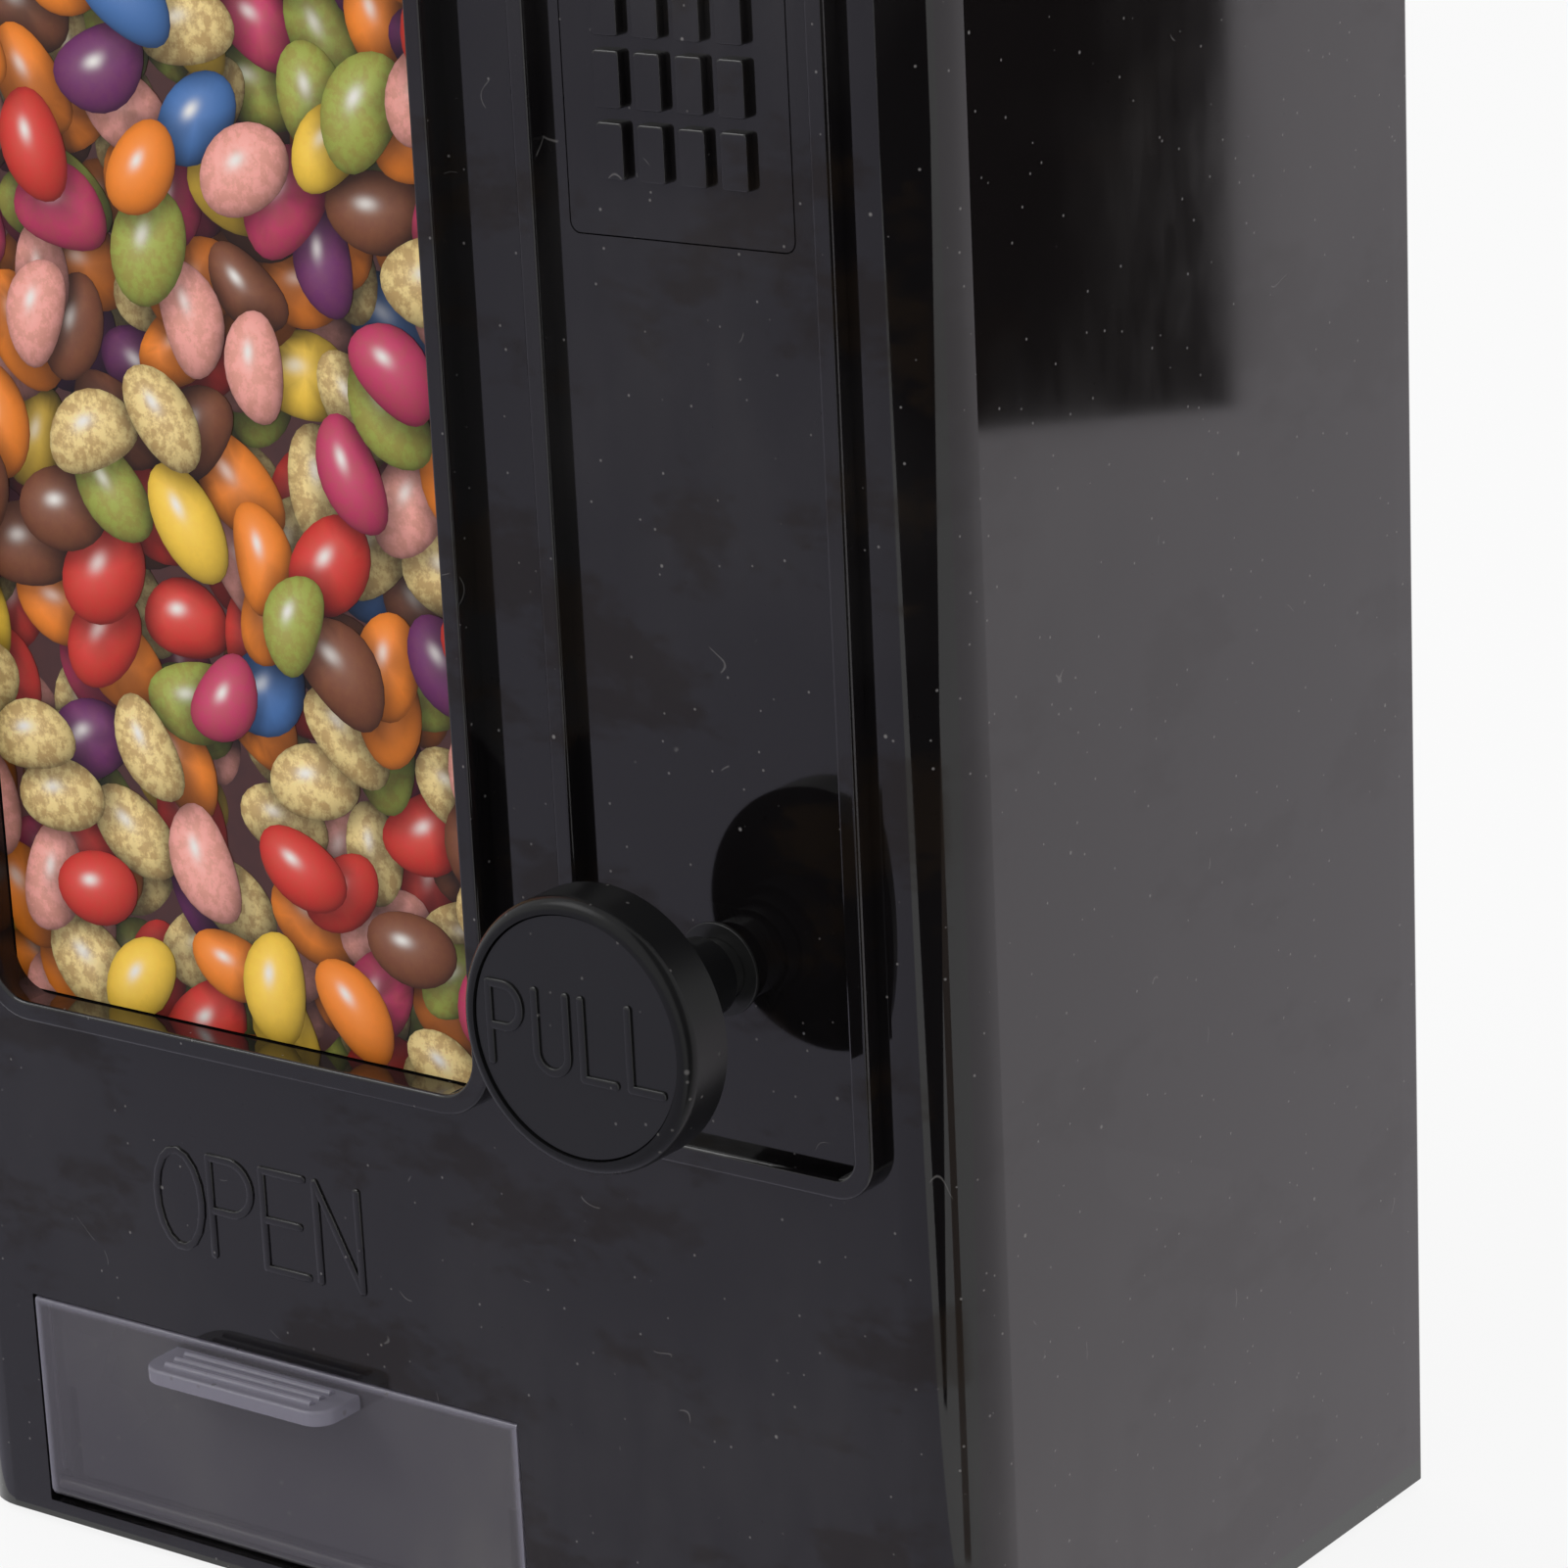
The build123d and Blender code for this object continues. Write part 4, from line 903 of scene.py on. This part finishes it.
def spring_rise(share, turns):
    """How far along the spring a turn lies: a slow start and end, where the end turns lie close,
    and a steady pitch between them."""
    close = CLOSE_TURNS / turns
    slow = CLOSE_PITCH * CLOSE_TURNS
    return np.interp(share, [0, close, 1 - close, 1], [0, slow, 1 - slow, 1])


class DISPENSER_OT_spring(bpy.types.Operator):
    """Wind the return spring's wire"""

    bl_idname = "dispenser.spring"
    bl_label = "Spring"

    def execute(self, context):
        sizes = context.scene.dispenser_spring
        low, high = np.array(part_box("return_spring"))
        radius = (high[0] - low[0]) / 2 - sizes.wire_radius
        centre_x, centre_z = (low[0] + high[0]) / 2, (low[2] + high[2]) / 2
        start, end = low[1] + sizes.wire_radius, high[1] - sizes.wire_radius
        share = np.linspace(0, 1, SPRING_STEPS * sizes.turns + 1)
        t = 2 * np.pi * sizes.turns * share
        out = np.stack([np.sin(t), np.zeros_like(t), np.cos(t)], axis=1)
        path = radius * out + np.array([centre_x, 0, centre_z])
        path[:, 1] = start + (end - start) * spring_rise(share, sizes.turns)
        mesh = mesh_from_grids("spring_wire", [tube(path, out, sizes.wire_radius, WIRE_SIDES)])
        spring = add_piece("spring_wire", mesh, "housing", bpy.data.materials["zinc_steel"])
        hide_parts("return_spring")
        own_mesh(spring)
        return {"FINISHED"}


# Stage

FLOOR_REACH = 3.0
FLOOR_PAINT = (0.86, 0.86, 0.86)
WHITE = (1, 1, 1)

# How much of the floor's look is plain white to the camera; the rest keeps the object's shadow
FLOOR_SEEN = 0.88

# The world is white where it is seen, and this strong where it lights the object
WORLD_LIGHT = 0.62

SENSOR = 36.0
LAMP_AIM = (0, 0, 0.12)
LAMP_WIDTH = 0.9
KEY_PLACE = (-0.9, -1.0, 1.3)
FILL_PLACE = (1.3, -0.5, 0.9)


def level_card(left, right, front, back, height):
    """Corners of a card that lies level."""
    return [(left, front, height), (right, front, height), (right, back, height), (left, back, height)]


def upright_card(foot, low, top, high):
    """Corners of an upright card. Its foot and its top are lines, each from one XY place to another."""
    return [(*foot[0], low), (*foot[1], low), (*top[1], high), (*top[0], high)]


# Lines of the cards that stand off the right front corner and paint its dark and brown reflections, and
# where two of them meet
CORNER_FOOT = ((0.096, -0.099), (0.100, -0.096))
CORNER_TOP = ((0.073, -0.104), (0.136, -0.058))
CORNER_JOIN = 0.170
BROWN_LINE = ((0.1155, -0.0845), (0.122, -0.0755))

# Glowing cards that only mirrors see, which paint reflections on the housing: dark and brown ones off the
# side and the corner, a greyer floor in front and a tinted floor at the side. The colour of each one and its
# corners
CARDS = {
    "side_dark_reflection": ((0.020, 0.014, 0.012), [(0.300, 0.258, 0.061), (0.300, 0.369, 0.043),
                                          (0.300, 0.375, 0.600), (0.300, 0.250, 0.600)]),
    "front_floor_reflection": ((0.55, 0.53, 0.64), level_card(-1.6, 0.10, -1.6, -0.049, 0.001)),
    "side_floor_reflection": ((1.00, 0.94, 0.99), level_card(0.078, 1.8, -0.06, 1.8, 0.002)),
    "corner_dark_reflection": ((0.012, 0.011, 0.011), upright_card(CORNER_FOOT, 0.020, CORNER_TOP, CORNER_JOIN)),
    "corner_dark_reflection_high": ((0.012, 0.010, 0.009), upright_card(CORNER_TOP, CORNER_JOIN, CORNER_TOP, 0.320)),
    "corner_brown_reflection": ((0.30, 0.235, 0.195), upright_card(BROWN_LINE, 0.0, BROWN_LINE, 0.120)),
}


def studio_material(name, camera_share, seen_colour, colour):
    """Matt paint that mirrors and clear plastic see as plain light, and the camera in a share of it."""
    paint = Paint(name, {"Roughness": 0.9, "Base Color": colour})
    camera = paint.node("ShaderNodeLightPath", output="Is Camera Ray")
    seen = camera * camera_share + camera.other("Is Glossy Ray") + camera.other("Is Transmission Ray")
    light = paint.node("ShaderNodeEmission", {"Color": seen_colour, "Strength": 1.0})
    share = paint.smaller(seen, 1.0)
    paint.show(paint.node("ShaderNodeMixShader", {0: share, 1: paint.surface, 2: light}))
    return paint.material


def stage_panel(name, corners, material, glossy_only):
    """A flat panel of the stage through four corners, which only mirrors see where that is asked for."""
    mesh = bpy.data.meshes.new(name)
    mesh.from_pydata(np.array(corners), [], [(0, 1, 2, 3)])
    mesh.materials.append(material)
    piece = bpy.data.objects.new(name, mesh)
    bpy.context.scene.collection.objects.link(piece)
    if glossy_only:
        for kind in ("camera", "diffuse", "transmission", "volume_scatter", "shadow"):
            setattr(piece, f"visible_{kind}", False)


def softbox(name, place, power):
    """A square area light that shines from its place on the object."""
    lamp = bpy.data.lights.new(name, "AREA")
    lamp.shape = "SQUARE"
    lamp.size = LAMP_WIDTH
    lamp.energy = power
    piece = bpy.data.objects.new(name, lamp)
    bpy.context.scene.collection.objects.link(piece)
    piece.location = place
    piece.rotation_euler = (Vector(place) - Vector(LAMP_AIM)).to_track_quat("Z", "Y").to_euler()


class DISPENSER_OT_stage(bpy.types.Operator):
    """Set up the floor, the lights and the camera"""

    bl_idname = "dispenser.stage"
    bl_label = "Stage"

    def execute(self, context):
        scene = context.scene
        sizes = scene.dispenser_stage
        floor = level_card(-FLOOR_REACH, FLOOR_REACH, -FLOOR_REACH, FLOOR_REACH, 0)
        stage_panel("floor", floor, studio_material("floor_white", FLOOR_SEEN, WHITE, FLOOR_PAINT), False)
        # Painted reflections: glowing cards that only mirrors see
        for name, (colour, corners) in CARDS.items():
            stage_panel(name, corners, studio_material(f"{name}_paint", 0.0, colour, colour), True)
        self.light_world(scene)
        softbox("key_light", KEY_PLACE, sizes.key_power)
        softbox("fill_light", FILL_PLACE, sizes.fill_power)
        self.place_camera(scene, sizes)
        scene.view_settings.view_transform = "Standard"
        return {"FINISHED"}

    def light_world(self, scene):
        """A white background where the camera and mirrors see it, and a softer one that lights."""
        world = bpy.data.worlds.new("studio")
        world.use_nodes = True
        scene.world = world
        tree = world.node_tree
        background = next(node for node in tree.nodes if node.type == "BACKGROUND")
        path = tree.nodes.new("ShaderNodeLightPath")
        total = path.outputs["Is Camera Ray"]
        for ray in ("Is Glossy Ray", "Is Transmission Ray"):
            add = tree.nodes.new("ShaderNodeMath")
            tree.links.new(total, add.inputs[0])
            tree.links.new(path.outputs[ray], add.inputs[1])
            total = add.outputs[0]
        strength = tree.nodes.new("ShaderNodeMapRange")
        tree.links.new(total, strength.inputs["Value"])
        strength.inputs["To Min"].default_value = WORLD_LIGHT
        strength.inputs["To Max"].default_value = 1.0
        background.inputs["Color"].default_value = (*WHITE, 1)
        tree.links.new(strength.outputs["Result"], background.inputs["Strength"])

    def place_camera(self, scene, sizes):
        """The view looks along azimuth and elevation, and its right and down axes turn by the roll."""
        az, el, roll = sizes.azimuth, sizes.elevation, sizes.roll
        ahead = np.array([-math.sin(az) * math.cos(el), math.cos(az) * math.cos(el), -math.sin(el)])
        level = np.array([math.cos(az), math.sin(az), 0])
        low = np.cross(ahead, level)
        right = math.cos(roll) * level + math.sin(roll) * low
        down = math.cos(roll) * low - math.sin(roll) * level
        lens = bpy.data.cameras.new("camera")
        lens.lens = sizes.lens
        lens.sensor_width = SENSOR
        camera = bpy.data.objects.new("camera", lens)
        scene.collection.objects.link(camera)
        turn = Matrix(np.stack([right, -down, -ahead], axis=1).tolist()).to_4x4()
        camera.matrix_world = Matrix.Translation(sizes.camera_place) @ turn
        scene.camera = camera


# The add-on's panel and its registration

OPERATORS = (
    DISPENSER_OT_finishes,
    DISPENSER_OT_words,
    DISPENSER_OT_picture,
    DISPENSER_OT_spring,
    DISPENSER_OT_stage,
)


class DISPENSER_PT_panel(bpy.types.Panel):
    """Lists the settings and the steps"""

    bl_label = "Dispenser"
    bl_idname = "DISPENSER_PT_panel"
    bl_space_type = "VIEW_3D"
    bl_region_type = "UI"
    bl_category = "Dispenser"

    def draw(self, context):
        for key, group in GROUPS.items():
            column = self.layout.column()
            column.label(text=group.__doc__)
            for setting in group.__annotations__:
                column.prop(getattr(context.scene, key), setting)
        for operator in OPERATORS:
            self.layout.operator(operator.bl_idname)


CLASSES = (*GROUPS.values(), *OPERATORS, DISPENSER_PT_panel)


def register():
    for item in CLASSES:
        bpy.utils.register_class(item)
    for key, group in GROUPS.items():
        setattr(bpy.types.Scene, key, PointerProperty(type=group))


def unregister():
    for key in GROUPS:
        delattr(bpy.types.Scene, key)
    for item in reversed(CLASSES):
        bpy.utils.unregister_class(item)


def main():
    register()
    bpy.ops.dispenser.finishes()
    bpy.ops.dispenser.words()
    bpy.ops.dispenser.picture()
    bpy.ops.dispenser.spring()
    bpy.ops.dispenser.stage()


if __name__ == "__main__":
    main()
